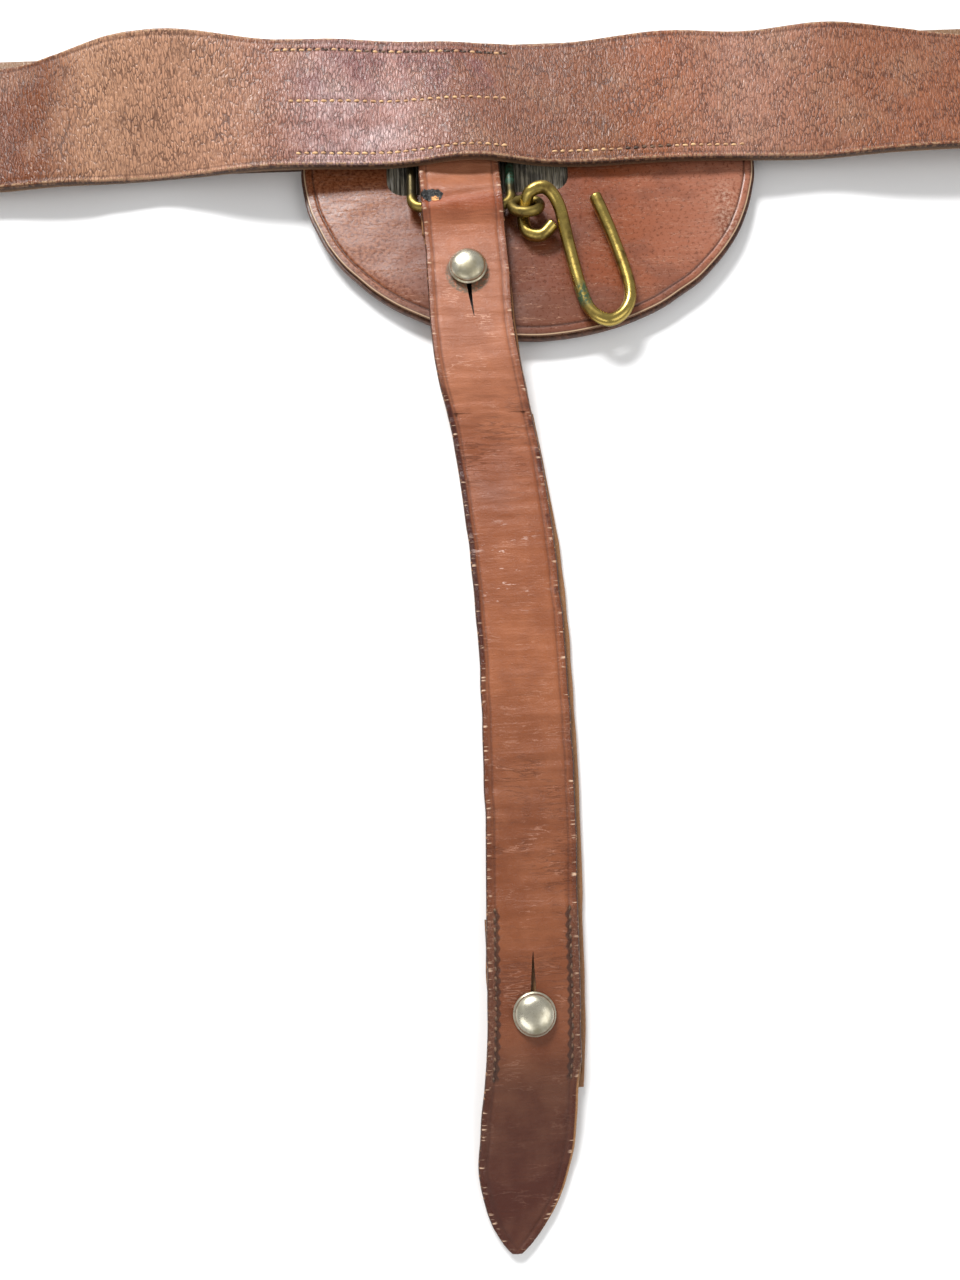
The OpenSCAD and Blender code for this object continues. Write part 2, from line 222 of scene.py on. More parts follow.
def section(thickness, columns, edge):
    """A strip's cross-section, from its left edge over the grain side and back under the flesh side.

    Each point is (across from -1 to 1, inset, depth).
    """
    steps = np.linspace(0, math.pi / 2, 4)
    left = [(-1, edge * (1 - math.cos(a)), edge * (1 - math.sin(a))) for a in steps]
    top = [(u, 0, 0) for u in np.linspace(-1, 1, columns + 2)[1:-1]]
    right = [(-u, i, d) for u, i, d in reversed(left)]
    under = [(u, i, thickness - d) for u, i, d in [(1, e[1], e[2]) for e in left]]
    back = [(u, 0, thickness) for u in np.linspace(1, -1, max(6, columns // 4) + 2)[1:-1]]
    under_left = [(-1, i, d) for u, i, d in reversed(under)]
    return left + top + right + under + back + under_left


def ribbon(name, points, sides, normals, left, right, thickness, columns=40, edge=0.5 * MM, relief=None,
           closed=False, start_along=0.0):
    """A strip of leather along grain-side points. relief(across, along, from_edge) lifts the grain side."""
    points, sides, normals = (np.asarray(a, float) for a in (points, sides, normals))
    rows = len(points)
    left = np.broadcast_to(left, rows).astype(float)
    right = np.broadcast_to(right, rows).astype(float)
    thick = np.broadcast_to(thickness, rows).astype(float)
    along = start_along + run_length(points)
    mean_t = float(thick.mean())
    shape = np.array(section(mean_t, columns, edge))
    width = np.where(shape[:, 0][None, :] < 0, left[:, None], right[:, None])
    across = np.sign(shape[:, 0])[None, :] * np.maximum(np.abs(shape[:, 0])[None, :] * width - shape[:, 1], 0)
    depth = shape[:, 2][None, :] * (thick[:, None] / mean_t)
    from_edge = np.minimum(across + left[:, None], right[:, None] - across)
    grid_along = np.broadcast_to(along[:, None], across.shape)
    if relief is not None:
        lift = relief(across, grid_along, from_edge)
        depth = depth - lift * (1 - depth / thick[:, None])
    cloud = points[:, None, :] + sides[:, None, :] * across[..., None] - normals[:, None, :] * depth[...,
                                                                                                     None]
    count = len(shape)
    uv_side = across.copy()
    under = shape[:, 2] > mean_t * 0.5
    uv_side[:, under] += UNDER_SHIFT
    uvs = np.stack([uv_side, grid_along], axis=-1).reshape(-1, 2)
    strip = outward(new_object(name, cloud.reshape(-1, 3), sleeve_cells(rows, count, closed), uvs))
    store(strip, rim=from_edge / MM, under=np.broadcast_to(under[None], from_edge.shape))
    if not closed:
        strip.data.set_sharp_from_angle(angle=math.radians(60))
    return strip


def catmull(points, steps):
    p = np.asarray(points, float)
    n = len(p)
    out = []
    for i in range(n - 1):
        a, b, c, d = p[max(0, i - 1)], p[i], p[i + 1], p[min(n - 1, i + 2)]
        for k in range(steps):
            t = k / steps
            out.append(0.5 * (2 * b + (c - a) * t + (2 * a - 5 * b + 4 * c - d) * t * t
                              + (3 * b - a - 3 * c + d) * t ** 3))
    out.append(p[-1])
    return np.array(out)


def tube(name, path, radius, sides=24, closed=False):
    """A round wire along a path. radius may be one number or one for each point."""
    path = np.asarray(path, float)
    n = len(path)
    radius = np.broadcast_to(radius, n).astype(float)
    if closed:
        tangent = unit(np.roll(path, -1, 0) - np.roll(path, 1, 0))
    else:
        tangent = unit(np.gradient(path, axis=0))
    normal = unit(np.cross(tangent[0], (0.13, 0.29, 0.95)))
    normals = []
    for t in tangent:
        normal = unit(normal - t * np.dot(normal, t))
        normals.append(normal)
    normals = np.array(normals)
    if closed:
        drift = math.atan2(np.dot(np.cross(normals[-1], normals[0]), tangent[0]),
                           np.dot(normals[-1], normals[0]))
        turn = np.linspace(0, drift, n)[:, None]
        normals = normals * np.cos(turn) + np.cross(tangent, normals) * np.sin(turn)
    other = np.cross(tangent, normals)
    angle = np.linspace(0, 2 * math.pi, sides, endpoint=False)
    ring = normals[:, None] * np.cos(angle)[None, :, None] + other[:, None] * np.sin(angle)[None, :, None]
    cloud = path[:, None] + ring * radius[:, None, None]
    along = run_length(path)
    uvs = np.stack([np.broadcast_to(angle[None] * radius.mean(), (n, sides)),
                    np.broadcast_to(along[:, None], (n, sides))], -1).reshape(-1, 2)
    return outward(new_object(name, cloud.reshape(-1, 3), sleeve_cells(n, sides, closed), uvs))


def rounded_ends(path, radius, steps=5):
    """The wire's path with short tapering steps at both ends, so that its cut ends are bevelled."""
    path = np.asarray(path, float)
    first, last = unit(path[0] - path[1]), unit(path[-1] - path[-2])
    lead = [(path[0] + first * radius * 0.35 * math.sin(a), radius * (0.72 + 0.28 * math.cos(a)))
            for a in np.linspace(math.pi / 2, 0.3, steps)]
    tail = [(path[-1] + last * radius * 0.35 * math.sin(a), radius * (0.72 + 0.28 * math.cos(a)))
            for a in np.linspace(0.3, math.pi / 2, steps)]
    points = np.array([p for p, _ in lead] + list(path) + [p for p, _ in tail])
    radii = np.array([r for _, r in lead] + [radius] * len(path) + [r for _, r in tail])
    return points, radii


def lathe(name, profile, centre, segments):
    """A turned piece: profile is (radius, height) from the axis at the top to the axis at the bottom."""
    profile = np.asarray(profile, float)
    angle = np.linspace(0, 2 * math.pi, segments, endpoint=False)
    cloud = [(centre[0] + r * math.cos(a), centre[1] + r * math.sin(a), z) for r, z in profile for a in angle]
    obj = new_object(name, cloud, ring_cells(range(len(profile)), segments), [c[:2] for c in cloud])
    mesh = bmesh.new()
    mesh.from_mesh(obj.data)
    bmesh.ops.remove_doubles(mesh, verts=mesh.verts, dist=1e-7)
    bmesh.ops.recalc_face_normals(mesh, faces=mesh.faces)
    mesh.to_mesh(obj.data)
    mesh.free()
    obj.data.shade_smooth()
    return obj


def cut(obj, cutter):
    """Takes the cutter's shape out of obj and deletes the cutter."""
    tool = obj.modifiers.new("cut", "BOOLEAN")
    tool.operation = "DIFFERENCE"
    tool.solver = "EXACT"
    tool.object = cutter
    bpy.context.view_layer.update()
    done = bpy.data.meshes.new_from_object(obj.evaluated_get(bpy.context.evaluated_depsgraph_get()))
    obj.modifiers.clear()
    obj.data = done
    bpy.data.objects.remove(cutter)
    return obj


def prism(outline, z0, z1):
    n = len(outline)
    if sum(a[0] * b[1] - b[0] * a[1] for a, b in zip(outline, outline[1:] + outline[:1])) < 0:
        outline = outline[::-1]
    points = [(x, y, z) for z in (z0, z1) for x, y in outline]
    cells = [tuple(range(n))[::-1], tuple(range(n, 2 * n))]
    cells += [(i, (i + 1) % n, n + (i + 1) % n, n + i) for i in range(n)]
    return new_object("cutter", points, cells, smooth=False)


def joined(name, objects):
    bpy.ops.object.select_all(action="DESELECT")
    for o in objects:
        o.select_set(True)
    bpy.context.view_layer.objects.active = objects[0]
    if len(objects) > 1:
        bpy.ops.object.join()
    objects[0].name = name
    objects[0].data.name = name
    return objects[0]


# ---- Shader building ----

class Shader:
    """A material with its Principled shader, and short calls for the nodes that feed it."""

    def __init__(self, name):
        self.material = bpy.data.materials.new(name)
        self.material.use_nodes = True
        self.tree = self.material.node_tree
        self.surface = self.tree.nodes["Principled BSDF"]

    def node(self, kind, **settings):
        made = self.tree.nodes.new(kind)
        for key, value in settings.items():
            setattr(made, key, value)
        return made

    def feed(self, socket, value):
        if isinstance(value, bpy.types.NodeSocket):
            self.tree.links.new(value, socket)
        elif value is not None:
            socket.default_value = value

    def put(self, name, value):
        self.feed(self.surface.inputs[name], value)

    def stretched(self, vector, factors):
        n = self.node("ShaderNodeVectorMath", operation="MULTIPLY")
        self.feed(n.inputs[0], vector)
        n.inputs[1].default_value = factors
        return n.outputs[0]

    def leather_mm(self):
        """The leather's own coordinates in millimetres: across, along."""
        return self.stretched(self.node("ShaderNodeUVMap", uv_map="leather").outputs[0], (1000, 1000, 1000))

    def object_mm(self):
        """The part's own coordinates in millimetres."""
        return self.stretched(self.node("ShaderNodeTexCoord").outputs["Object"], (1000, 1000, 1000))

    def distance(self, vector, point):
        n = self.node("ShaderNodeVectorMath", operation="DISTANCE")
        self.feed(n.inputs[0], vector)
        n.inputs[1].default_value = point
        return n.outputs["Value"]

    def split(self, vector):
        parts = self.node("ShaderNodeSeparateXYZ")
        self.feed(parts.inputs[0], vector)
        return parts.outputs

    def noise(self, vector, scale, detail=4, rough=0.55, twist=0.0):
        n = self.node("ShaderNodeTexNoise")
        self.feed(n.inputs["Vector"], vector)
        n.inputs["Scale"].default_value = scale
        n.inputs["Detail"].default_value = detail
        n.inputs["Roughness"].default_value = rough
        n.inputs["Distortion"].default_value = twist
        return n.outputs["Fac"]

    def cells(self, vector, scale):
        """Distance to the nearest border between cells."""
        n = self.node("ShaderNodeTexVoronoi", feature="DISTANCE_TO_EDGE")
        self.feed(n.inputs["Vector"], vector)
        n.inputs["Scale"].default_value = scale
        return n.outputs["Distance"]

    def math(self, operation, a, b=0.0, clamp=False):
        n = self.node("ShaderNodeMath", operation=operation, use_clamp=clamp)
        self.feed(n.inputs[0], a)
        self.feed(n.inputs[1], b)
        return n.outputs[0]

    def chain(self, operation, first, *others):
        for other in others:
            first = self.math(operation, first, other)
        return first

    def times(self, *values):
        return self.chain("MULTIPLY", *values)

    def plus(self, *values):
        return self.chain("ADD", *values)

    def minus(self, a, b):
        return self.math("SUBTRACT", a, b)

    def span(self, value, low, high, to_low=0.0, to_high=1.0):
        """Runs smoothly from to_low at low to to_high at high. low may be the larger of the two."""
        n = self.node("ShaderNodeMapRange", interpolation_type="SMOOTHSTEP")
        self.feed(n.inputs["Value"], value)
        n.inputs["From Min"].default_value = low
        n.inputs["From Max"].default_value = high
        n.inputs["To Min"].default_value = to_low
        n.inputs["To Max"].default_value = to_high
        return n.outputs["Result"]

    def near(self, value, centre, outer, inner):
        """1 within inner of centre, fading to 0 at outer."""
        return self.span(self.math("ABSOLUTE", self.minus(value, centre)), outer, inner)

    def mix(self, amount, a, b):
        n = self.node("ShaderNodeMix", data_type="RGBA")
        n.clamp_factor = True
        self.feed(n.inputs[0], amount)
        self.feed(n.inputs[6], a if isinstance(a, bpy.types.NodeSocket) else (*a, 1))
        self.feed(n.inputs[7], b if isinstance(b, bpy.types.NodeSocket) else (*b, 1))
        return n.outputs[2]

    def over(self, base, colour, *masks):
        """Lays a colour over base where every mask is high."""
        return self.mix(self.times(*masks), base, colour)

    def ramp(self, value, stops):
        n = self.node("ShaderNodeValToRGB")
        self.feed(n.inputs[0], value)
        ends = n.color_ramp.elements
        ends[0].position, ends[0].color = stops[0][0], (*stops[0][1], 1)
        ends[1].position, ends[1].color = stops[-1][0], (*stops[-1][1], 1)
        for place, colour in stops[1:-1]:
            ends.new(place).color = (*colour, 1)
        return n.outputs["Color"]

    def bump(self, height, strength, distance):
        n = self.node("ShaderNodeBump")
        n.inputs["Strength"].default_value = strength
        n.inputs["Distance"].default_value = distance
        self.feed(n.inputs["Height"], height)
        return n.outputs["Normal"]


def zone_colour(s, along, zones):
    """Colour along the strip: zones is a list of (millimetres, colour)."""
    low, high = zones[0][0], zones[-1][0]
    place = s.node("ShaderNodeMapRange")
    s.feed(place.inputs["Value"], along)
    place.inputs["From Min"].default_value = low
    place.inputs["From Max"].default_value = high
    return s.ramp(place.outputs["Result"], [((mm - low) / (high - low), colour) for mm, colour in zones])


# ---- Materials ----

DARK_EDGE = (0.035, 0.014, 0.009)
FLESH = (0.30, 0.17, 0.09)


def strands(s, vector, across, along, scale, detail=5):
    """Noise drawn out across the strip, as fine wrinkles are."""
    return s.noise(s.stretched(vector, (across, along, 1)), scale, detail, 0.6, 0.4)


def scratches(s, vector, turn, length, width, amount):
    """Thin straight lines in one direction, broken up at random: 1 on a scratch."""
    mapping = s.node("ShaderNodeMapping")
    s.feed(mapping.inputs["Vector"], vector)
    mapping.inputs["Rotation"].default_value = (0, 0, math.radians(turn))
    mapping.inputs["Scale"].default_value = (1 / length, 1 / width, 1)
    lines = s.noise(mapping.outputs[0], 1.0, 2, 0.5, 0.15)
    on_line = s.minus(1.0, s.near(lines, 0.5, 0.0, 0.012))
    broken = s.span(s.noise(mapping.outputs[0], 0.35, 2), 1 - amount, 1 - amount + 0.08)
    return s.times(on_line, broken)


def rim_and_under(s):
    rim = s.node("ShaderNodeAttribute", attribute_name="rim").outputs["Fac"]
    under = s.node("ShaderNodeAttribute", attribute_name="under").outputs["Fac"]
    return rim, under


def box_mask(s, across, along, low, high, soft):
    """1 inside a rectangle of leather coordinates, in millimetres, fading over soft."""
    inside = s.span(across, low[0] - soft, low[0] + soft)
    for value, a, b in ((across, high[0] + soft, high[0] - soft), (along, low[1] - soft, low[1] + soft),
                        (along, high[1] + soft, high[1] - soft)):
        inside = s.times(inside, s.span(value, a, b))
    return inside


def needle_holes(s, across, along, rows, pitch):
    """Holes between the stitches of each row (across, first, last), all in millimetres, to be painted dark as the
    shade inside them.
    """
    phase = s.math("COSINE", s.times(along, 2 * math.pi / pitch))
    between = s.span(phase, -0.35, -0.85)
    total = None
    for place, first, last in rows:
        near = s.near(across, place, 0.75, 0.2)
        here = s.times(near, box_mask(s, across, along, (place - 3, first), (place + 3, last), 0.4))
        total = here if total is None else s.math("MAXIMUM", total, here)
    return s.times(total, between), total


def belt_leather(rows, pitch):
    s = Shader("belt_leather")
    uv = s.leather_mm()
    across, along, _ = s.split(uv)
    # The bright zones from -110 to -74 mm along are the leather's own tone with painted sheen from the light on
    # the belt's hump there.
    base = zone_colour(s, along, [
        (-260, (0.14, 0.036, 0.008)), (-140, (0.15, 0.036, 0.006)), (-126, (0.17, 0.046, 0.010)),
        (-110, (0.46, 0.240, 0.140)), (-74, (0.48, 0.245, 0.150)), (-56, (0.28, 0.110, 0.062)),
        (-40, (0.31, 0.150, 0.130)), (-16, (0.36, 0.175, 0.145)), (2, (0.21, 0.074, 0.040)),
        (24, (0.225, 0.088, 0.050)), (46, (0.20, 0.062, 0.020)), (66, (0.31, 0.105, 0.048)),
        (90, (0.38, 0.180, 0.120)), (128, (0.29, 0.104, 0.050)), (240, (0.22, 0.058, 0.016))])
    cloud = s.noise(uv, 0.055, 4, 0.6)
    base = s.over(base, (0.33, 0.17, 0.10), s.span(cloud, 0.46, 0.66), 0.45)
    maroon = s.times(box_mask(s, across, along, (2, -46), (17, 14), 5),
                     s.span(s.noise(uv, 0.09, 3), 0.42, 0.6))
    base = s.over(base, (0.17, 0.055, 0.055), maroon, 0.75)
    # Painted highlight: a pale glossy patch on the belt's lower half from -44 to -16 mm along.
    painted_shine = s.times(box_mask(s, across, along, (-19, -44), (2, -16), 9), s.span(cloud, 0.35, 0.6))
    base = s.over(base, (0.60, 0.45, 0.45), painted_shine, 0.75)
    warped = s.node("ShaderNodeVectorMath", operation="MULTIPLY_ADD")
    s.feed(warped.inputs[0], s.noise(uv, 0.7, 3))
    warped.inputs[1].default_value = (1.0, 0.8, 0)
    s.feed(warped.inputs[2], uv)
    pebble = s.cells(s.stretched(warped.outputs[0], (0.36, 1.30, 1)), 1.0)
    fine = strands(s, uv, 0.42, 1.25, 1.05, 6)
    coarse = strands(s, uv, 0.30, 0.9, 0.33, 4)
    strength = s.span(s.noise(uv, 0.12, 4, 0.65), 0.34, 0.62, 0.25, 1.0)
    # Painted shade in the grain's furrows and wrinkle valleys, and painted highlight on the wrinkle ridges.
    furrow_shade = s.times(s.span(pebble, 0.15, 0.02), strength)
    base = s.over(base, s.mix(0.85, base, (0.035, 0.009, 0.005)), furrow_shade, 0.85)
    base = s.over(base, s.mix(0.8, base, (0.05, 0.014, 0.008)), s.span(fine, 0.50, 0.36), 0.62)
    base = s.over(base, (0.60, 0.37, 0.25), s.span(fine, 0.56, 0.72), 0.34)
    # Painted glints: pale flecks on the grain.
    glint_flecks = s.times(s.span(strands(s, uv, 0.8, 1.8, 1.7, 3), 0.70, 0.76),
                     s.span(s.noise(uv, 0.10, 3), 0.46, 0.6))
    base = s.over(base, (0.72, 0.58, 0.46), glint_flecks, 0.55)
    holes, groove = needle_holes(s, across, along, rows, pitch)
    base = s.over(base, (0.10, 0.035, 0.025), groove, 0.35)
    # Painted shade: the needle holes are darkened nearly to black.
    base = s.over(base, (0.015, 0.008, 0.006), holes, 0.85)
    rim, under = rim_and_under(s)
    worn = s.noise(uv, 0.8, 4)
    rim_band = s.times(s.span(rim, 1.15, 0.70), s.span(rim, 0.30, 0.50))
    base = s.over(base, (0.42, 0.25, 0.14), rim_band, s.span(worn, 0.44, 0.58))
    base = s.over(base, (0.06, 0.022, 0.014), s.near(rim, 1.75, 0.5, 0.1), 0.4)
    base = s.over(base, s.mix(s.span(worn, 0.45, 0.62), (0.045, 0.02, 0.012), (0.16, 0.08, 0.04)),
                  s.span(rim, 0.45, 0.12))
    base = s.over(base, s.mix(s.noise(uv, 0.5, 5), (0.17, 0.09, 0.045), (0.28, 0.16, 0.09)), under)
    s.put("Base Color", base)
    s.put("Roughness", s.span(s.noise(uv, 0.9, 4), 0.3, 0.7, 0.28, 0.50))
    s.put("Specular IOR Level", 0.32)
    height = s.plus(s.times(fine, 0.8), s.times(s.span(pebble, 0.0, 0.20), 0.45))
    height = s.plus(height, s.times(coarse, 0.7))
    height = s.minus(height, s.times(holes, 1.2))
    s.put("Normal", s.bump(height, 0.80, 0.30 * MM))
    return s.material


def sling_leather():
    s = Shader("sling_leather")
    uv = s.leather_mm()
    across, along, _ = s.split(uv)
    # The narrow dark zone at 33.5 mm along is painted shade in the crease where the strap bends toward its fold.
    base = zone_colour(s, along, [
        (-120, (0.24, 0.065, 0.022)), (18, (0.33, 0.125, 0.060)), (30, (0.37, 0.130, 0.064)),
        (33.5, (0.31, 0.070, 0.022)), (40, (0.37, 0.122, 0.054)), (50, (0.375, 0.142, 0.076)),
        (95, (0.37, 0.128, 0.060)), (112, (0.275, 0.082, 0.032)), (140, (0.29, 0.086, 0.031)),
        (172, (0.315, 0.098, 0.036)), (210, (0.215, 0.063, 0.022)), (248, (0.225, 0.065, 0.021)),
        (274, (0.165, 0.046, 0.016)), (281, (0.098, 0.028, 0.010)), (287, (0.068, 0.018, 0.007)),
        (304, (0.055, 0.012, 0.006)), (335, (0.046, 0.007, 0.003))])
    cloud = s.noise(uv, 0.075, 5, 0.6)
    base = s.mix(s.span(cloud, 0.38, 0.66), s.mix(0.24, base, (0.10, 0.024, 0.009)),
                 s.mix(0.10, base, (0.50, 0.22, 0.12)))
    # Painted glints: pale specks over the strap.
    glint_specks = s.times(s.span(s.noise(uv, 1.9, 4, 0.7), 0.66, 0.72), s.span(s.noise(uv, 0.12, 2), 0.46, 0.6))
    base = s.over(base, (0.66, 0.42, 0.30), glint_specks, 0.4)
    wrinkle = strands(s, uv, 0.10, 0.70, 0.9, 6)
    lines = s.near(wrinkle, 0.5, 0.035, 0.0)
    busy = s.plus(box_mask(s, across, along, (-14, 98), (14, 122), 8),
                  box_mask(s, across, along, (-14, 190), (14, 262), 18))
    # Painted shade in the folds of the cross wrinkles.
    creased = s.times(lines, s.span(s.noise(uv, 0.06, 3), 0.44, 0.62), s.plus(s.times(busy, 0.75), 0.25))
    base = s.over(base, s.mix(0.75, base, (0.06, 0.012, 0.005)), creased, 0.50)
    # Painted highlight along one side of each cross wrinkle, stronger from 60 to 92 mm along.
    bright = s.near(wrinkle, 0.545, 0.022, 0.0)
    bright = s.times(bright, s.span(s.noise(uv, 0.11, 3), 0.50, 0.64))
    bright = s.times(bright, s.span(along, 290, 262, 0.25, 1.0))
    around = s.plus(0.34, s.times(box_mask(s, across, along, (-14, 60), (14, 92), 8), 0.4))
    base = s.over(base, (0.68, 0.38, 0.27), bright, around)
    smudge = s.times(box_mask(s, across, along, (-9, 112), (1, 130), 6), s.span(cloud, 0.36, 0.6))
    base = s.over(base, (0.20, 0.095, 0.075), smudge, 0.45)
    rim, under = rim_and_under(s)
    groove = s.near(rim, 2.4, 0.55, 0.1)
    base = s.over(base, s.mix(0.8, base, (0.05, 0.014, 0.008)), groove, 0.50)
    margin = s.span(rim, 2.2, 1.2)
    speck = s.noise(uv, 1.1, 5, 0.6)
    # Margins: dark burnished leather, cracked lightly across, with painted shade deepening the left margin and
    # patchy darkening on the right.
    margin_shade_and_patches = s.times(s.span(across, -8, -9.5), s.span(along, 84, 98), s.span(along, 196, 165))
    patchy = s.times(s.span(across, 8, 9.5), s.span(s.noise(uv, 0.10, 3), 0.50, 0.58))
    patchy = s.times(patchy, s.span(along, 92, 100), s.span(along, 170, 150))
    margin_shade_and_patches = s.math("ADD", margin_shade_and_patches, s.times(patchy, 0.8), clamp=True)
    base = s.over(base, s.mix(s.plus(0.80, s.times(margin_shade_and_patches, 0.18)), base, (0.050, 0.008, 0.003)), margin,
                  s.plus(0.5, s.times(margin_shade_and_patches, 0.5)))
    # Painted glints on the wrinkles half way down.
    glint = s.times(box_mask(s, across, along, (-10, 136), (5, 158), 7),
                    s.span(strands(s, uv, 0.22, 0.85, 0.7, 5), 0.60, 0.66))
    base = s.over(base, (0.80, 0.58, 0.50), glint, 0.65)
    cracks = s.times(s.span(rim, 1.9, 0.9), s.span(strands(s, uv, 0.1, 1.1, 0.8, 4), 0.57, 0.64))
    base = s.over(base, (0.74, 0.50, 0.34), cracks, 0.85)
    base = s.over(base, s.mix(s.span(speck, 0.56, 0.66), (0.055, 0.020, 0.012), (0.40, 0.20, 0.09)),
                  s.span(rim, 0.55, 0.2))
    # The torn spot: black filler, with raw leather at its lower corner.
    tear = s.minus(box_mask(s, across, along, (-12.2, 29.4), (-5.6, 33.0), 1.6),
                   s.times(s.noise(uv, 0.75, 4, 0.7), 0.9))
    torn = s.span(tear, 0.06, 0.12)
    filler = s.mix(s.span(s.noise(uv, 1.6, 4), 0.42, 0.6), (0.006, 0.006, 0.006), (0.035, 0.035, 0.034))
    ragged = s.times(s.minus(s.noise(uv, 0.6, 3), 0.5), 9.0)
    exposed = s.times(s.span(s.plus(along, ragged), 31.4, 32.0), s.span(across, -9.4, -8.6))
    exposed = s.times(exposed, s.span(s.plus(across, ragged), -6.6, -7.2))
    base = s.over(base, s.mix(exposed, filler, (0.80, 0.36, 0.12)), torn)
    # Verdigris round the upper stud.
    stain = s.distance(uv, (-0.2, 56.4, 0))
    halo = s.times(s.span(stain, 6.9, 6.1), s.span(speck, 0.36, 0.52))
    base = s.over(base, (0.10, 0.095, 0.062), halo, 0.75)
    # Side stitching at the lower stud: a rubbed margin with a scalloped dark line inside it.
    sewn = s.times(s.span(along, 241, 243), s.span(along, 286, 284))
    lobes = s.times(s.math("SINE", s.times(along, 2.3)), 0.28)
    side = s.plus(s.math("ABSOLUTE", across), lobes)
    margins = s.times(s.span(side, 9.5, 9.9), sewn)
    base = s.over(base, s.mix(s.span(speck, 0.5, 0.66), (0.085, 0.036, 0.022), (0.26, 0.15, 0.10)), margins,
                  0.45)
    scallop = s.times(s.near(side, 9.6, 0.85, 0.35), sewn)
    base = s.over(base, (0.030, 0.012, 0.007), scallop, 0.75)
    # Raw edge beside the tip and flesh inside; the flesh side's middle and the walls where a buttonhole is cut
    # through are painted black as shade inside the slit.
    raw_side = s.times(s.span(rim, 0.85, 0.35), s.span(across, 2, 5), s.span(along, 280, 288))
    base = s.over(base, s.mix(speck, (0.16, 0.055, 0.015), (0.58, 0.30, 0.11)), raw_side,
                  s.span(along, 324, 312))
    flesh = s.mix(speck, (0.20, 0.09, 0.035), (0.34, 0.17, 0.075))
    base = s.over(base, s.mix(speck, (0.30, 0.13, 0.045), (0.62, 0.33, 0.14)), s.span(along, 8, 2))
    base = s.over(base, s.mix(s.span(s.math("ABSOLUTE", across), 8, 5), flesh, (0.012, 0.005, 0.003)), under)
    cut_face = s.distance(uv, (0, 0, 0))
    base = s.over(base, (0.012, 0.005, 0.003), s.span(cut_face, 0.04, 0.01))
    s.put("Base Color", base)
    rough = s.span(s.noise(uv, 0.5, 5), 0.3, 0.7, 0.30, 0.52)
    s.put("Roughness", s.math("ADD", rough, s.times(margin, -0.10), clamp=True))
    s.put("Specular IOR Level", 0.32)
    grain = s.cells(uv, 3.2)
    height = s.plus(s.times(wrinkle, 1.0), s.times(s.noise(uv, 1.6, 5), 0.45))
    height = s.plus(height, s.times(s.span(grain, 0.0, 0.3), 0.10))
    height = s.minus(height, s.times(creased, 0.35))
    height = s.plus(height, s.times(torn, s.noise(uv, 1.8, 3)))
    s.put("Normal", s.bump(height, 0.75, 0.34 * MM))
    return s.material


def guard_leather():
    s = Shader("guard_leather")
    uv = s.leather_mm()
    across, along, _ = s.split(uv)
    side = s.span(across, -50, 95)
    base = s.ramp(side, [(0.0, (0.165, 0.044, 0.013)), (0.22, (0.155, 0.040, 0.014)),
                         (0.34, (0.10, 0.025, 0.009)),
                         (0.46, (0.13, 0.034, 0.013)), (0.58, (0.165, 0.042, 0.016)), (0.74,
                                                                                       (0.225, 0.056, 0.018)),
                         (1.0, (0.32, 0.120, 0.070))])
    cloud = s.noise(uv, 0.06, 5, 0.6)
    base = s.over(base, (0.14, 0.048, 0.028), s.span(cloud, 0.48, 0.64), 0.5)
    fine = s.noise(uv, 0.9, 6, 0.65)
    base = s.over(base, (0.06, 0.018, 0.010), s.span(fine, 0.50, 0.34), 0.5)
    warm = s.times(s.span(across, -8, -30), s.span(fine, 0.44, 0.62))
    base = s.over(base, (0.42, 0.17, 0.08), warm, 0.40)
    rim, under = rim_and_under(s)
    low = s.span(along, -58, -66)
    base = s.over(base, (0.13, 0.055, 0.035), low, 0.4)
    marks = None
    for turn, length, width, amount in ((28, 9, 0.9, 0.46), (62, 6, 0.8, 0.48), (104, 7, 0.9, 0.46),
                                        (-15, 12, 1.1, 0.44), (140, 5, 0.8, 0.42)):
        line = scratches(s, uv, turn, length, width, amount)
        marks = line if marks is None else s.math("MAXIMUM", marks, line)
    base = s.over(base, (0.50, 0.25, 0.15), marks, 0.5)
    # Painted highlight: a pale patch at the plate's upper right.
    highlight_patch = s.times(box_mask(s, across, along, (79, -50), (85, -28), 4), s.span(fine, 0.46, 0.62))
    base = s.over(base, (0.50, 0.33, 0.25), highlight_patch, 0.7)
    line_in = s.near(rim, 2.9, 0.5, 0.1)
    base = s.over(base, (0.035, 0.012, 0.008), line_in, 0.65)
    base = s.over(base, (0.07, 0.026, 0.016), s.span(rim, 1.5, 0.4), 0.6)
    base = s.over(base, (0.46, 0.32, 0.20), s.span(rim, 0.65, 0.35), s.span(rim, 0.05, 0.25))
    base = s.over(base, FLESH, under)
    s.put("Base Color", base)
    s.put("Roughness", s.plus(s.span(fine, 0.3, 0.7, 0.24, 0.40), s.times(marks, 0.2)))
    s.put("Specular IOR Level", 0.38)
    height = s.plus(s.times(fine, 0.5), s.times(s.cells(uv, 1.9), 0.10))
    height = s.minus(height, s.times(marks, 0.4))
    s.put("Normal", s.bump(height, 0.42, 0.25 * MM))
    return s.material


def plain_leather(name, dark, light, rough):
    """Leather of one colour, for the plies, patches, tabs and keepers that are mostly hidden."""
    s = Shader(name)
    mm = s.object_mm()
    speck = s.noise(mm, 0.7, 6, 0.65)
    base = s.mix(s.span(speck, 0.34, 0.66), dark, light)
    fibre = s.noise(s.stretched(mm, (0.15, 0.15, 3.0)), 0.9, 4)
    base = s.over(base, DARK_EDGE, s.span(fibre, 0.56, 0.44), 0.35)
    s.put("Base Color", base)
    s.put("Roughness", s.span(speck, 0.3, 0.7, rough - 0.08, rough + 0.1))
    s.put("Normal", s.bump(s.plus(speck, s.times(s.cells(mm, 1.6), 0.4)), 0.5, 0.22 * MM))
    return s.material


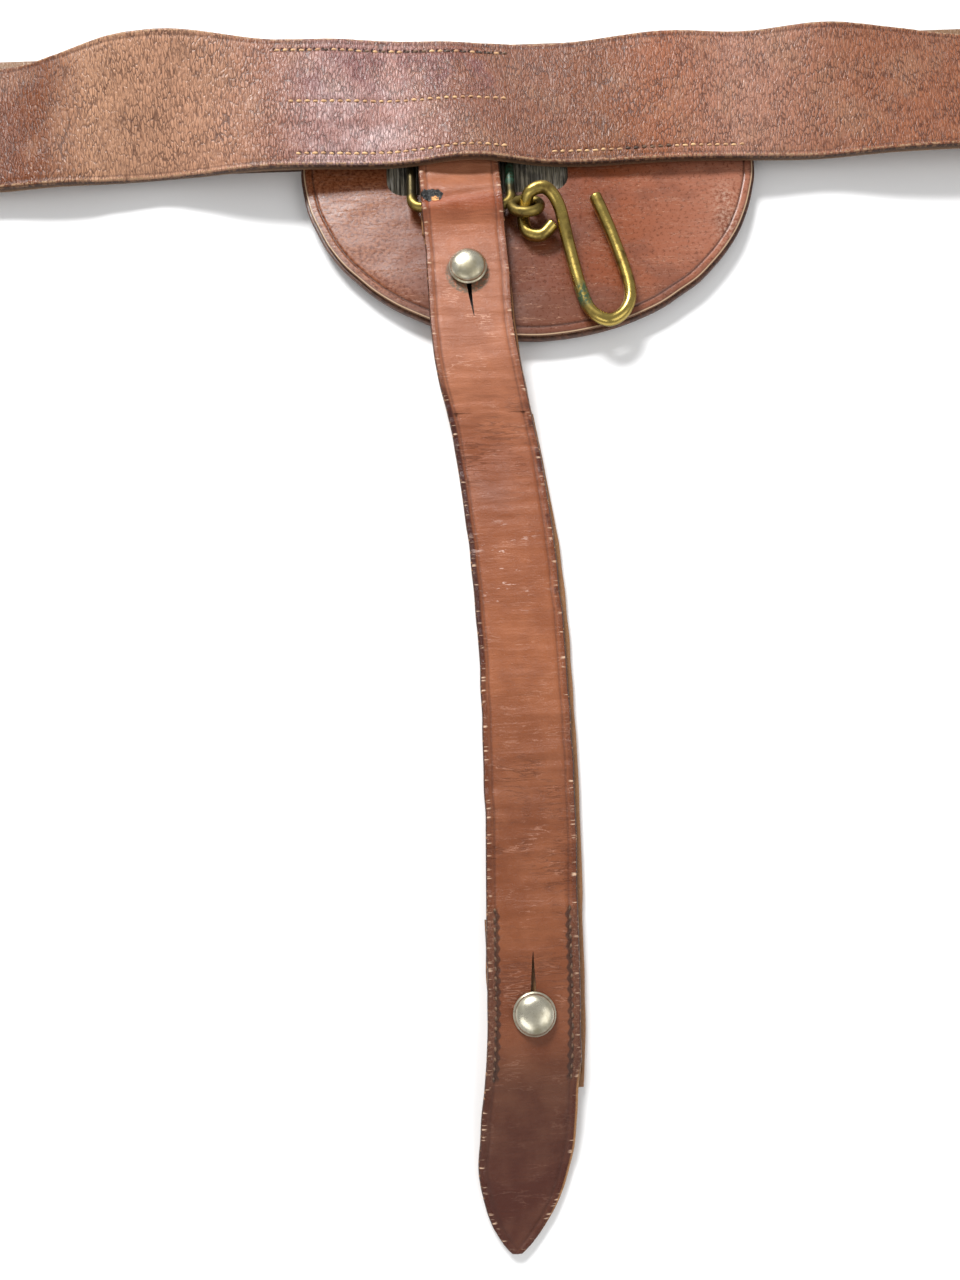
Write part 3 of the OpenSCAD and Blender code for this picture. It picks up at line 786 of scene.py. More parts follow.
def lining_cloth():
    s = Shader("ribbed_lining")
    uv = s.leather_mm()
    fibre = strands(s, uv, 2.4, 0.10, 1.0, 5)
    base = s.mix(s.span(fibre, 0.40, 0.62), (0.06, 0.052, 0.036), (0.34, 0.30, 0.22))
    base = s.over(base, (0.42, 0.39, 0.33), s.span(strands(s, uv, 1.1, 0.06, 1.0, 3), 0.55, 0.66))
    base = s.over(base, s.mix(0.6, base, (0.03, 0.028, 0.024)), s.span(s.noise(uv, 0.16, 3), 0.5, 0.66))
    s.put("Base Color", base)
    s.put("Roughness", 0.72)
    s.put("Sheen Weight", 0.15)
    s.put("Normal", s.bump(fibre, 0.7, 0.25 * MM))
    return s.material


def aged_metal(name, colour, dark, rough, stain, green=None, shade_above=None):
    s = Shader(name)
    mm = s.object_mm()
    cloud = s.noise(mm, 0.16, 5, 0.6)
    speck = s.noise(mm, 0.9, 6, 0.7)
    base = s.mix(s.times(s.span(cloud, 0.46, 0.66), stain), colour, dark)
    base = s.over(base, dark, s.span(speck, 0.60, 0.70), 0.45)
    metal = None
    if shade_above is not None:
        _, y, _ = s.split(mm)
        # Painted shade: the wire above the given height is darkened nearly to black, where it lies in the dark
        # under the belt's edge.
        shaded_top = s.span(y, shade_above - 1.5, shade_above + 1.5)
        base = s.over(base, (0.030, 0.026, 0.018), shaded_top, 0.88)
    if green is not None:
        near = s.span(s.distance(mm, green), 5.2, 2.4)
        crust = s.times(near, s.span(speck, 0.40, 0.52))
        base = s.over(base, (0.006, 0.050, 0.026), crust, 0.9)
        metal = s.minus(1.0, s.times(crust, 0.8))
    s.put("Base Color", base)
    s.put("Metallic", 1.0 if metal is None else metal)
    s.put("Roughness", s.span(s.plus(cloud, s.times(speck, 0.5)), 0.45, 1.1, rough, rough + 0.28))
    s.put("Normal", s.bump(speck, 0.22, 0.12 * MM))
    return s.material


def thread_material(name, light, dark):
    s = Shader(name)
    mm = s.object_mm()
    base = s.mix(s.span(s.noise(mm, 0.33, 3), 0.36, 0.60), dark, light)
    base = s.over(base, dark, s.noise(mm, 3.2, 4), 0.35)
    s.put("Base Color", base)
    s.put("Roughness", 0.6)
    s.put("Normal", s.bump(s.noise(mm, 4.0, 3), 0.6, 0.15 * MM))
    return s.material


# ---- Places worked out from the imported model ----

def joint_place(name):
    return next(np.array(j["pos_m"], float) for j in frame["joints"] if j["name"] == name)


belt_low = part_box("belt")[0]
fold_low, fold_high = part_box("belt_fold")
tail_low, tail_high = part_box("belt_tail")
BELT_T = tail_high.z - tail_low.z
BELT_HALF = (tail_high.y - tail_low.y) / 2
BAR = joint_place("buckle_tilt")            # the buckle's bar, which the strap turns round
TURN_R = BAR[0] - belt_low.x                # outside radius of that turn
HOLE_R = 2.5 * MM
FOLD_X, FOLD_R = fold_low.x, fold_high.x - fold_low.x
STITCH_PITCH, STITCH_LENGTH = 2.5 * MM, 1.9 * MM
# Stitch rows seen on the belt: across, first and last along, in millimetres.
BELT_ROWS = [(17, -54, 17), (0, -50, 16), (-17, -48, 16), (-17, 30, 88)]

belt_skin = belt_leather(BELT_ROWS, STITCH_PITCH / MM)
sling_skin = sling_leather()
guard_skin = guard_leather()
back_skin = plain_leather("guard_back_leather", (0.045, 0.020, 0.013), (0.15, 0.065, 0.038), 0.42)
raw_skin = plain_leather("raw_leather", (0.22, 0.10, 0.045), (0.52, 0.27, 0.12), 0.6)
keeper_skin = plain_leather("keeper_leather", (0.17, 0.065, 0.038), (0.29, 0.12, 0.07), 0.42)
lining_skin = lining_cloth()
brass = aged_metal("aged_brass", (0.42, 0.31, 0.085), (0.12, 0.075, 0.022), 0.20, 0.9,
                   green=(36.4, -65.0, 10.0))
dull_brass = aged_metal("aged_brass_dull", (0.26, 0.19, 0.055), (0.06, 0.045, 0.02), 0.34, 1.0,
                        green=(16.0, -24.0, 8.5),
                        shade_above=-31)
nickel = aged_metal("aged_nickel", (0.62, 0.58, 0.46), (0.26, 0.22, 0.12), 0.20, 0.65)
THREADS = {"light_thread": thread_material("light_thread", (0.86, 0.55, 0.27), (0.46, 0.24, 0.12)),
           "dark_thread": thread_material("dark_thread", (0.20, 0.11, 0.06), (0.05, 0.025, 0.015))}


def finish_piece(obj, material, body, slot, *nodes):
    """Gives a piece its material and body. A tuple for body (two bodies, start and end) only bakes the piece's
    transform, with no body. slot is not used.
    """
    obj.data.materials.clear()
    obj.data.materials.append(material)
    if isinstance(body, tuple):
        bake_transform(obj)
    else:
        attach(obj, body)
    if nodes:
        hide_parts(*nodes)
    return obj


# ---- Belt ----

def belt_run():
    """The strap's grain side from the chape round the bar, along the front and round the fold to its tip."""
    top_tree = tree_of("belt")
    points, sides, normals, widths = [], [], [], []

    def add(point, side, normal, half):
        points.append(point), sides.append(side), normals.append(normal), widths.append(half)

    across = np.array((0.0, 1.0, 0.0))
    chape_z = belt_low.z
    for x in np.arange(BAR[0] + 55 * MM, BAR[0] + 1 * MM, -1.0 * MM):
        add((x, 0, chape_z), across, (0, 0, -1), BELT_HALF)
    for a in np.radians(np.arange(-90, -271, -7.5)):
        out = np.array((math.cos(a), 0, math.sin(a)))
        add((BAR[0] + TURN_R * out[0], 0, BAR[2] + TURN_R * out[2]), across, out, BELT_HALF)
    xs = np.arange(BAR[0] + 2 * MM, FOLD_X - 0.5 * MM, 0.6 * MM)
    inner = 0.85 * BELT_HALF
    high = [hit(top_tree, (x, inner, 0.1), (0, 0, -1)) for x in xs]
    low = [hit(top_tree, (x, -inner, 0.1), (0, 0, -1)) for x in xs]
    high = smoothed(np.array([p[2] for p in high]), 5)
    low = smoothed(np.array([p[2] for p in low]), 5)
    for x, up, down in zip(xs, high, low):
        side = unit((0, 2 * inner, up - down))
        add((x, 0, (up + down) / 2), side, np.cross((1, 0, 0), side), BELT_HALF)
    for a in np.radians(np.arange(84, -85, -6)):
        turn = (math.pi / 2 - a) / math.pi
        out = np.array((math.cos(a), 0, math.sin(a)))
        add((FOLD_X + FOLD_R * out[0], TAIL_SIDE * turn, FOLD_R + FOLD_R * out[2]), across, out, BELT_HALF)
    tip = tail_low.x
    for x in np.arange(FOLD_X, tip + 26 * MM, -1.5 * MM):
        add((x, TAIL_SIDE, 0), across, (0, 0, -1), BELT_HALF)
    for d in np.concatenate([np.arange(26, 1, -0.8), (0.7, 0.3, 0.1)]) * MM:
        point = (1 - (1 - min(1, d / (22 * MM))) ** 2) ** 0.5
        add((tip + d, TAIL_SIDE, 0), across, (0, 0, -1), BELT_HALF * max(point, 0.03))
    return [np.array(a, float) for a in (points, sides, normals, widths)]


TAIL_SIDE = (tail_high.y + tail_low.y) / 2
run_points, run_sides, run_normals, run_half = belt_run()
run_along = run_length(run_points)
FRONT_START = int(np.argmax((run_normals[:, 2] > 0.9) & (run_points[:, 0] > BAR[0] + 1 * MM)))
ALONG_TO_X = run_points[FRONT_START, 0] - run_along[FRONT_START]


def belt_relief(across, along, from_edge):
    """Edge crease, stitch grooves, fine cross wrinkles and the patch's step on the strap's grain side."""
    x = along
    front = between(x, BAR[0], FOLD_X, 6 * MM, 4 * MM)
    crease = swell(from_edge, 1.9 * MM, 0.45 * MM) * 0.22
    stitch = sum(swell(across, y * MM, 0.6 * MM) * between(x, a * MM, b * MM, 1 * MM) for y, a,
                 b in BELT_ROWS) * 0.22
    worn = between(x, -190 * MM, FOLD_X, 30 * MM, 20 * MM)
    fine = value_noise(x / (1.5 * MM), across / (9 * MM), 3) + 0.6 * value_noise(x / (0.8 * MM),
                                                                                 across / (4 * MM), 4)
    soft = value_noise(x / (9 * MM), across / (14 * MM), 5)
    step = 0.30 * between(x, -53.5 * MM, 18 * MM, 1.4 * MM) * ease((across + 8 * MM) / (2 * MM))
    ruffle = value_noise(x / (5.5 * MM), across / (16 * MM), 6) * swell(x, -92 * MM, 22 * MM) * 0.35
    return front * MM * (-crease - stitch + worn * 0.055 * fine + 0.12 * soft + 0.5 * step + ruffle)


def make_belt():
    strap = ribbon("belt_strap", run_points, run_sides, run_normals, run_half, run_half, BELT_T,
                   columns=64, edge=0.8 * MM, relief=belt_relief, start_along=ALONG_TO_X)
    slot = [(BAR[0] + 12 * MM * c, 3 * MM * s) for c, s in ((-0.67, -1), (1, -1), (1, 1), (-0.67, 1))]
    cut(strap, prism(slot, BAR[2] - 10 * MM, BAR[2] + 10 * MM))
    for place in (m["pos_m"] for m in frame["record"]["mounts"] if m["name"].startswith("adjusting_hole")):
        cut(strap, prism(circle(place[0], place[1], HOLE_R, 32), -2 * MM, BELT_T + 0.6 * MM))
    return finish_piece(strap, belt_skin, "belt", "belt_leather", "belt", "belt_fold", "belt_tail")

belt = make_belt()
belt_tree = mesh_tree(belt)


def rounded_rectangle(low, high, corner, steps=9):
    """Points round a rectangle, counter-clockwise, with round corners and points along its sides."""
    centres = ((high[0] - corner, high[1] - corner, 0), (low[0] + corner, high[1] - corner, 90),
               (low[0] + corner, low[1] + corner, 180), (high[0] - corner, low[1] + corner, 270))
    out = []
    for x, y, start in centres:
        out += [(x + corner * math.cos(a), y + corner * math.sin(a))
                for a in np.radians(start + np.linspace(0, 90, steps))]
    dense = []
    for a, b in zip(out, out[1:] + out[:1]):
        n = max(1, int(math.dist(a, b) / (1.5 * MM)))
        dense += [tuple(np.array(a) + (np.array(b) - np.array(a)) * k / n) for k in range(n)]
    return dense


def make_keeper(node, piece_name, body):
    """A leather loop round the strap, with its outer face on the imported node's outline."""
    low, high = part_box(node)
    loop = rounded_rectangle((low.y, low.z), (high.y, high.z), 2.2 * MM)
    path = np.array([((low.x + high.x) / 2, y, z) for y, z in loop])
    tangent = unit(np.roll(path, -1, 0) - np.roll(path, 1, 0))
    half = (high.x - low.x) / 2
    piece = ribbon(piece_name, path, along_x(path), unit(np.cross(tangent, (1, 0, 0))), half, half, 1.2 * MM,
                   columns=10, edge=0.35 * MM, closed=True)
    return finish_piece(piece, keeper_skin, body, "belt_leather", node)


make_keeper("keeper_fixed", "keeper_band_fixed", "belt")
make_keeper("keeper_sliding", "keeper_band_sliding", "keeper")


# ---- Buckle ----

def make_buckle():
    low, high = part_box("buckle_frame")
    wire = BAR[2] - low.z
    loop = rounded_rectangle((low.x + wire, low.y + wire), (high.x - wire, high.y - wire), 5 * MM)
    loop = [(x, y, BAR[2]) for x, y in loop]
    frame_piece = tube("buckle_wire_frame", loop, wire, closed=True)
    finish_piece(frame_piece, brass, "buckle", "aged_brass", "buckle_frame")
    prong_low, prong_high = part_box("buckle_prong")
    around = [(x, 0, z) for x, z in circle(BAR[0], BAR[2], 3.3 * MM, 48)]
    ring = ribbon("buckle_tongue", around, np.broadcast_to((0.0, 1.0, 0.0), (48, 3)),
                  unit(np.array(around) - (BAR[0], 0, BAR[2])), 1.8 * MM, 1.8 * MM, 1.35 * MM, columns=10,
                  edge=0.5 * MM, closed=True)
    rod_z = prong_high.z - 1.3 * MM
    rod = [(x, 0, rod_z + 0.25 * MM * math.sin(math.pi * u) - 0.25 * MM)
           for u, x in zip(np.linspace(0, 1, 26), np.linspace(BAR[0] - 2.0 * MM, prong_low.x + 0.9 * MM, 26))]
    path, radii = rounded_ends(rod, 1.3 * MM)
    tongue = joined("buckle_tongue", [ring, tube("tongue_rod", path, radii)])
    finish_piece(tongue, brass, "prong", "aged_brass", "buckle_prong")


make_buckle()


# ---- Guard ----

GUARD_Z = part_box("guard_front")
GUARD_BACK_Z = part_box("guard_backing")
GUARD_X = (GUARD_Z[0].x + GUARD_Z[1].x) / 2
GUARD_Y = -17 * MM
GUARD_TOP = GUARD_Z[1].y
GUARD_A = (GUARD_Z[1].x - GUARD_Z[0].x) / 2
GUARD_B = GUARD_Y - GUARD_Z[0].y
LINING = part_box("guard_lining")
LAP = 5 * MM                                # the lining runs this far beyond the cut-out
CUT_LOW = (LINING[0].x + LAP, LINING[0].y + LAP)
CUT_HIGH = (LINING[1].x - LAP, GUARD_TOP + LAP)


def plate(name, a, b, low, high, edge, relief):
    """The guard's half-moon plate, on rings that close in from its outline."""
    start = math.asin((GUARD_TOP - GUARD_Y) / b)
    angles = np.linspace(start, -math.pi - start, 420)
    wobble = 0.25 * MM * value_noise(angles * 9, angles * 0 + 2.5, 21)
    outline = np.stack([GUARD_X + (a + wobble - 0.25 * MM) * np.cos(angles),
                        GUARD_Y + (b + wobble - 0.25 * MM) * np.sin(angles)], -1)
    top = np.linspace(outline[-1], outline[0], 90)[1:-1]
    outline = np.concatenate([outline, top])
    centre = np.array((GUARD_X, GUARD_Y - 20 * MM))
    reach = np.linalg.norm(outline - centre, axis=1)
    inner = np.arange(edge + 0.25 * MM, 6 * MM, 0.25 * MM)
    rings = [(edge * (1 - math.cos(t)), edge * (1 - math.sin(t))) for t in np.linspace(0, math.pi / 2, 6)]
    rings += [(d, 0.0) for d in inner]
    deep = inner[-1]
    count, cloud, marks = len(outline), [], []
    for d, depth in rings:
        share = (d / reach)[:, None]
        xy = outline + (centre - outline) * share
        z = high - depth + relief(xy[:, 0], xy[:, 1], np.full(count,
                                                              d)) * (1 if depth == 0 else 1 - depth / edge)
        cloud.append(np.column_stack([xy, z]))
        marks.append(np.full(count, d / MM))
    for u in np.linspace(0, 1, 46)[1:-1] ** 0.92:
        d = deep + (reach - deep) * u
        xy = outline + (centre - outline) * (d / reach)[:, None]
        cloud.append(np.column_stack([xy, high + relief(xy[:, 0], xy[:, 1], d)]))
        marks.append(d / MM)
    top_rings = len(cloud)
    under = [(0, edge)] + [(edge * (1 - math.sin(t)), edge * (1 - math.cos(t))) for t in (0.9, 0.45, 0.0)]
    for d, up in under + [(8 * MM, 0.0), (20 * MM, 0.0)]:
        xy = outline + (centre - outline) * (d / reach)[:, None]
        cloud.append(np.column_stack([xy, np.full(count, low + up)]))
        marks.append(np.full(count, d / MM))
    total = len(cloud)
    order = list(range(top_rings))[::-1] + list(range(top_rings, total))
    cells = ring_cells(order, count)
    points = np.concatenate(cloud)
    hub_top, hub_low = len(points), len(points) + 1
    hub_z = high + float(relief(centre[:1], centre[1:], np.array([30 * MM]))[0])
    points = np.concatenate([points, [(*centre, hub_z), (*centre, low)]])
    first, last = order[0], order[-1]
    cells += [(hub_top, first * count + k, first * count + (k + 1) % count) for k in range(count)]
    cells += [(hub_low, last * count + (k + 1) % count, last * count + k) for k in range(count)]
    obj = outward(new_object(name, points, cells, points[:, :2]))
    rim_mm = np.concatenate(marks + [[30.0, 30.0]])
    below = np.concatenate([np.repeat([0.0] * top_rings + [1.0] * (total - top_rings), count), [0.0, 1.0]])
    return store(obj, rim=rim_mm, under=below)


def front_plate_relief(x, y, from_edge):
    """Embossed line inside the rim, rounded edge and soft undulation."""
    line = 0.30 * swell(from_edge, 2.9 * MM, 0.42 * MM)
    rounded = 0.25 * ease(1 - from_edge / (6 * MM))
    soft = 0.22 * value_noise(x / (17 * MM), y / (15 * MM), 31) + 0.07 * value_noise(x / (5 * MM),
                                                                                     y / (5 * MM), 32)
    inside = ease((from_edge - 3 * MM) / (5 * MM))
    return MM * (-line - rounded + soft * inside - 0.1)


def back_plate_relief(x, y, from_edge):
    return MM * (-0.05 + 0.04 * value_noise(x / (6 * MM), y / (6 * MM), 33))


def window(grow):
    """Outline of the cut-out, grown by a margin."""
    return rounded_rectangle((CUT_LOW[0] - grow, CUT_LOW[1] - grow), (CUT_HIGH[0] + grow, CUT_HIGH[1]),
                             5 * MM + grow, 14)


def make_guard():
    front = plate("guard_front_plate", GUARD_A, GUARD_B, GUARD_Z[0].z + 0.02 * MM, GUARD_Z[1].z, 0.55 * MM,
                  front_plate_relief)
    cut(front, prism(window(0), 2 * MM, 9 * MM))
    front.data.set_sharp_from_angle(angle=math.radians(50))
    finish_piece(front, guard_skin, "belt", "guard_leather", "guard_front")
    back = plate("guard_back_plate", GUARD_A + 0.9 * MM, GUARD_B + 0.9 * MM, GUARD_BACK_Z[0].z,
                 GUARD_BACK_Z[1].z - 0.02 * MM,
                 0.5 * MM, back_plate_relief)
    well = [(LINING[0].x - 0.1 * MM, LINING[0].y - 0.1 * MM),
            (LINING[1].x + 0.1 * MM, LINING[0].y - 0.1 * MM),
            (LINING[1].x + 0.1 * MM, GUARD_TOP + 2 * MM), (LINING[0].x - 0.1 * MM, GUARD_TOP + 2 * MM)]
    cut(back, prism(well, LINING[0].z - 0.02 * MM, 9 * MM))
    back.data.set_sharp_from_angle(angle=math.radians(50))
    finish_piece(back, back_skin, "belt", "guard_edge_leather", "guard_backing")


def make_lining():
    """Coarse ribbed cloth in the cut-out, with its ribs running across the belt."""
    xs = np.arange(LINING[0].x, LINING[1].x + 1e-6, 0.15 * MM)
    ys = np.linspace(LINING[0].y, LINING[1].y, 60)
    x, y = np.meshgrid(xs, ys, indexing="ij")
    bent = x + 0.35 * MM * value_noise(x / (12 * MM), y / (6 * MM), 41)
    pitch = 1.4 * MM
    rib = 1 - np.abs(np.sin(math.pi * bent / pitch)) ** 1.6
    rib = rib * (0.8 + 0.2 * value_noise(x / (1.4 * MM), y / (2.5 * MM), 42))
    show = between(x, CUT_LOW[0] + 0.5 * MM, CUT_HIGH[0] - 0.5 * MM, 1.5 * MM) \
        * ease((y - CUT_LOW[1] - 0.5 * MM) / (1.5 * MM))
    base, top = LINING[0].z, LINING[1].z
    z = base + 0.1 * MM + (top - base - 0.15 * MM) * rib * 0.9 + 0.55 * MM * show * (0.25 + rib)
    n, m = x.shape
    upper = np.stack([x, y, z], -1).reshape(-1, 3)
    lower = np.stack([x, y, np.full_like(z, base)], -1).reshape(-1, 3)
    cells, size = [], n * m
    for i in range(n - 1):
        for k in range(m - 1):
            a, b, c, d = i * m + k, (i + 1) * m + k, (i + 1) * m + k + 1, i * m + k + 1
            cells += [(a, b, c, d), (size + d, size + c, size + b, size + a)]
    border = [i * m for i in range(n)] + [(n - 1) * m + k for k in range(1, m)] \
        + [i * m + m - 1 for i in range(n - 2, -1, -1)] + [k for k in range(m - 2, 0, -1)]
    cells += [(b, a, size + a, size + b) for a, b in zip(border, border[1:] + border[:1])]
    points = np.concatenate([upper, lower])
    piece = outward(new_object("ribbed_lining_cloth", points, cells, points[:, :2]))
    finish_piece(piece, lining_skin, "belt", "ribbed_lining", "guard_lining")


make_guard()
make_lining()


# ---- Sling ----

front_tree = tree_of("sling_loop", "sling_front_upper", "sling_front_lower")
rear_tree = tree_of("sling_rear_upper", "sling_rear_lower")
loop_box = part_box("sling_loop")
SLING_HALF = (loop_box[1].x - loop_box[0].x) / 2 - 0.5 * MM
FRONT_T, REAR_T = 2.0 * MM, 1.8 * MM
SEAM_Y = -100 * MM    # the sling is two pieces here, since one piece can follow one joint only


def ply_edges(tree, y, guess, down):
    """Middle, half width and level of a ply's outer face at y, or None in the gap between two nodes."""
    start = (0, 0, 0.1) if down else (0, 0, -0.05)
    way = (0, 0, -1) if down else (0, 0, 1)
    z = None
    for offset in (7 * MM, -7 * MM, 4.5 * MM, 1 * MM, 0):
        found = hit(tree, (guess + offset, y, start[2]), way)
        if found is not None:
            z = found[2]
            break
    if z is None:
        return None
    inside = z - 0.6 * MM if down else z + 0.6 * MM
    left = hit(tree, (guess - 0.03, y, inside), (1, 0, 0))
    right = hit(tree, (guess + 0.03, y, inside), (-1, 0, 0))
    return (left[0] + right[0]) / 2, (right[0] - left[0]) / 2, z


def ply_run(tree, ys, down):
    guess, out = 0.0, []
    for y in ys:
        found = ply_edges(tree, y, guess, down)
        if found is not None:
            guess, half, z = found
            out.append((guess, y, z, half))
    return np.array(out)


def front_rows(ys):
    rows = ply_run(front_tree, ys, True)
    rows[:, 0], rows[:, 2] = smoothed(rows[:, 0], 3), smoothed(rows[:, 2], 2.5)
    return rows


STRAP_STEP = 0.7 * MM
all_front = front_rows(np.arange(-19 * MM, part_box("sling_front_lower")[0].y + 0.2 * MM, -STRAP_STEP))
all_rear = ply_run(rear_tree, np.arange(-43 * MM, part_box("sling_rear_lower")[0].y + 0.4 * MM, -STRAP_STEP),
                   False)


def sling_relief(across, along, from_edge):
    """Creases inside both edges, cross wrinkles where the strap bends, and a soft uneven surface."""
    crease = 0.34 * swell(from_edge, 2.4 * MM, 0.50 * MM)
    raised = 0.16 * swell(from_edge, 1.2 * MM, 0.8 * MM)
    slant = along + 1.2 * MM * value_noise(across / (9 * MM), along / (20 * MM), 51)
    fold = value_noise(slant / (2.2 * MM), across / (13 * MM), 52)
    fine = value_noise(slant / (1.0 * MM), across / (7 * MM), 53)
    at = along / MM
    busy = swell(at, 58, 16) + 1.1 * swell(at, 108, 18) + 0.9 * swell(at, 210, 40) + 0.4
    soft = 0.22 * value_noise(across / (15 * MM), along / (19 * MM), 54)
    slope = at + 0.16 * across / MM
    dent = -0.45 * swell(slope, 31.5, 1.0) + 0.2 * swell(slope, 33.5, 1.2)
    torn = -0.6 * swell(at, 31.4, 1.8) * between(across, -12.2 * MM, -5.2 * MM, 0.8 * MM, 1.2 * MM)
    front = ease((at - 17) / 3)
    return MM * front * (raised - crease + 0.21 * fold * busy + 0.07 * fine * busy + soft + dent + torn - 0.1)


# Where the leather bends with a joint: its two bodies, and where the bend starts and ends.
LIFT_BEND = ("belt", "sling_upper", (0, -36 * MM, 0), (0, -48 * MM, 0))
LOWER_BEND = ("sling_upper", "sling_lower", (0, -143 * MM, 0), (0, -177 * MM, 0))


def buttonhole(strap, stud, toward, lean):
    """A round hole round the stud's neck with a pulled-open slit running on from it."""
    x, y = (stud[0].x + stud[1].x) / 2, (stud[0].y + stud[1].y) / 2
    length = 15.5 * MM
    floor_z, clear_z = stud[0].z - 0.2 * MM, stud[1].z + 2 * MM
    cut(strap, prism(circle(x, y, 2.4 * MM, 36), floor_z, clear_z))
    middle = [(x + lean * u ** 2, y + toward * length * u, (1.08 - u) * MM) for u in np.linspace(0, 1, 8)]
    outline = [(a - w, b) for a, b, w in middle] + [(a + w, b) for a, b, w in reversed(middle)]
    cut(strap, prism(outline, floor_z, clear_z))


def wavy(along, seed):
    return 0.28 * MM * value_noise(along / (7 * MM), along * 0 + 0.5, seed)


def pushed(rows):
    """The rear ply's rows, slid to the right so that its raw edge shows beside the front ply."""
    rows = rows.copy()
    rows[:, 0] += 0.9 * MM * ease((-44 * MM - rows[:, 1]) / (25 * MM))
    return rows


def seam_row(rows):
    """The row at the seam between the upper and lower straps, taken between its neighbours."""
    return [np.interp(-SEAM_Y, -rows[:, 1], rows[:, k]) for k in range(4)]


def make_upper_strap():
    """The doubled strap from its rear ply, round the fold over the ring's bar, to the front ply."""
    rear = pushed(np.vstack([all_rear[all_rear[:, 1] > SEAM_Y], seam_row(all_rear)]))[::-1]
    front = np.vstack([all_front[all_front[:, 1] > SEAM_Y], seam_row(all_front)])
    points, normals, half = [], [], []
    for x, y, z, h in rear:
        points.append((x, y, z)), normals.append((0, 0, -1)), half.append(h)
    loop_top, loop_low = front[0][2], rear[-1][2]
    radius = (loop_top - loop_low) / 2
    turn_y = loop_box[1].y - radius
    for y in np.arange(rear[-1][1] + STRAP_STEP, turn_y - 0.5 * MM, STRAP_STEP):
        points.append((0.2 * MM, y, loop_low)), normals.append((0, 0, -1)), half.append(SLING_HALF)
    for a in np.radians(np.linspace(-84, 84, 21)):
        out = (0, math.cos(a), math.sin(a))
        points.append((0, turn_y + radius * out[1], loop_low + radius + radius * out[2]))
        normals.append(out), half.append(SLING_HALF)
    for x, y, z, h in front:
        points.append((x, y, z)), normals.append((0, 0, 1)), half.append(h)
    points, normals, half = np.array(points), np.array(normals, float), np.array(half)
    along = run_length(points)
    start = -SEAM_Y - along[-1]
    depth = np.interp(along + start, (-10 * MM, 15 * MM), (REAR_T, FRONT_T))
    behind = ease((22 * MM - along - start) / (12 * MM))
    left, right = half + wavy(along + start, 61) - 0.8 * MM * behind, half + wavy(along + start, 62)
    strap = ribbon("sling_strap_upper", points, along_x(points), normals, left - 0.1 * MM, right - 0.1 * MM,
                   depth,
                   columns=60, edge=0.7 * MM, relief=sling_relief, start_along=start)
    buttonhole(strap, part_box("upper_stud"), -1, 1.3 * MM)
    return finish_piece(strap, sling_skin, LIFT_BEND, "sling_leather", "sling_loop", "sling_front_upper",
                        "sling_rear_upper")


def flat_strip(name, rows, normal, thickness, seed, start=0.0, relief=None, edge=0.7 * MM):
    """A ply through rows of (x, y, z, half width), drawn in by a hair from the half widths."""
    points = rows[:, :3]
    along = start + run_length(points)
    half = rows[:, 3] - 0.1 * MM * np.clip(rows[:, 3] / (2 * MM), 0, 1)
    left, right = half + wavy(along, seed) * (half > 6 * MM), half + wavy(along, seed + 1) * (half > 6 * MM)
    return ribbon(name, points, along_x(points), np.broadcast_to(normal, points.shape), left, right,
                  thickness,
                  columns=60, edge=edge, relief=relief, start_along=start)


def make_lower_strap():
    rows = np.vstack([seam_row(all_front), all_front[all_front[:, 1] < SEAM_Y]])
    strap = flat_strip("sling_strap_lower", rows, (0, 0, 1), FRONT_T, seed=61, start=-SEAM_Y,
                       relief=sling_relief)
    buttonhole(strap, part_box("lower_stud"), 1, 0.4 * MM)
    finish_piece(strap, sling_skin, LOWER_BEND, "sling_leather", "sling_front_lower")
    rear = pushed(np.vstack([seam_row(all_rear), all_rear[all_rear[:, 1] < SEAM_Y]]))
    back = flat_strip("sling_strap_rear", rear, (0, 0, -1), REAR_T, seed=71, start=-600 * MM,
                      edge=0.35 * MM)
    finish_piece(back, sling_skin, LOWER_BEND, "sling_back_leather", "sling_rear_lower")
    low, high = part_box("buttonhole_patch")
    ys = np.arange(high.y, low.y, -1 * MM)
    patch_rows = np.array([((low.x + high.x) / 2, y, high.z, (high.x - low.x) / 2 - 0.4 * MM) for y in ys])
    patch = flat_strip("sling_patch_raw", patch_rows, (0, 0, 1), high.z - low.z, seed=81)
    finish_piece(patch, raw_skin, "sling_lower", "sling_back_leather", "buttonhole_patch")
    return strap


upper_strap = make_upper_strap()
lower_strap = make_lower_strap()
strap_tree = mesh_tree(upper_strap, lower_strap)


# ---- Studs ----

def make_stud(node, name, body):
    """A domed stud on a flange, turned from solid."""
    low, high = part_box(node)
    centre = ((low.x + high.x) / 2, (low.y + high.y) / 2)
    radius = (high.x - low.x) / 2
    rim_z = high.z - 3.4 * MM
    dome_z = rim_z + 0.75 * MM
    dome = []
    for a in np.radians(np.linspace(90, 12, 20)):
        dome.append((radius * 0.93 * math.cos(a), dome_z + (high.z - dome_z) * math.sin(a)))
    flange = [(radius * 0.92, rim_z + 1.15 * MM), (radius * 0.90, rim_z + 0.85 * MM),
              (radius * 0.93, rim_z + 0.62 * MM),
              (radius * 0.985, rim_z + 0.52 * MM), (radius, rim_z + 0.30 * MM), (radius * 0.985,
                                                                                 rim_z + 0.08 * MM),
              (radius * 0.93, rim_z)]
    profile = dome + flange + [(2.3 * MM, rim_z), (2.1 * MM, rim_z - 0.2 * MM), (2.1 * MM, low.z), (0, low.z)]
    stud = lathe(name, profile, centre, 96)
    return finish_piece(stud, nickel, body, "aged_nickel", node)


make_stud("upper_stud", "stud_upper_turned", "sling_upper")
make_stud("lower_stud", "stud_lower_turned", "sling_lower")


# ---- Ring and hook ----

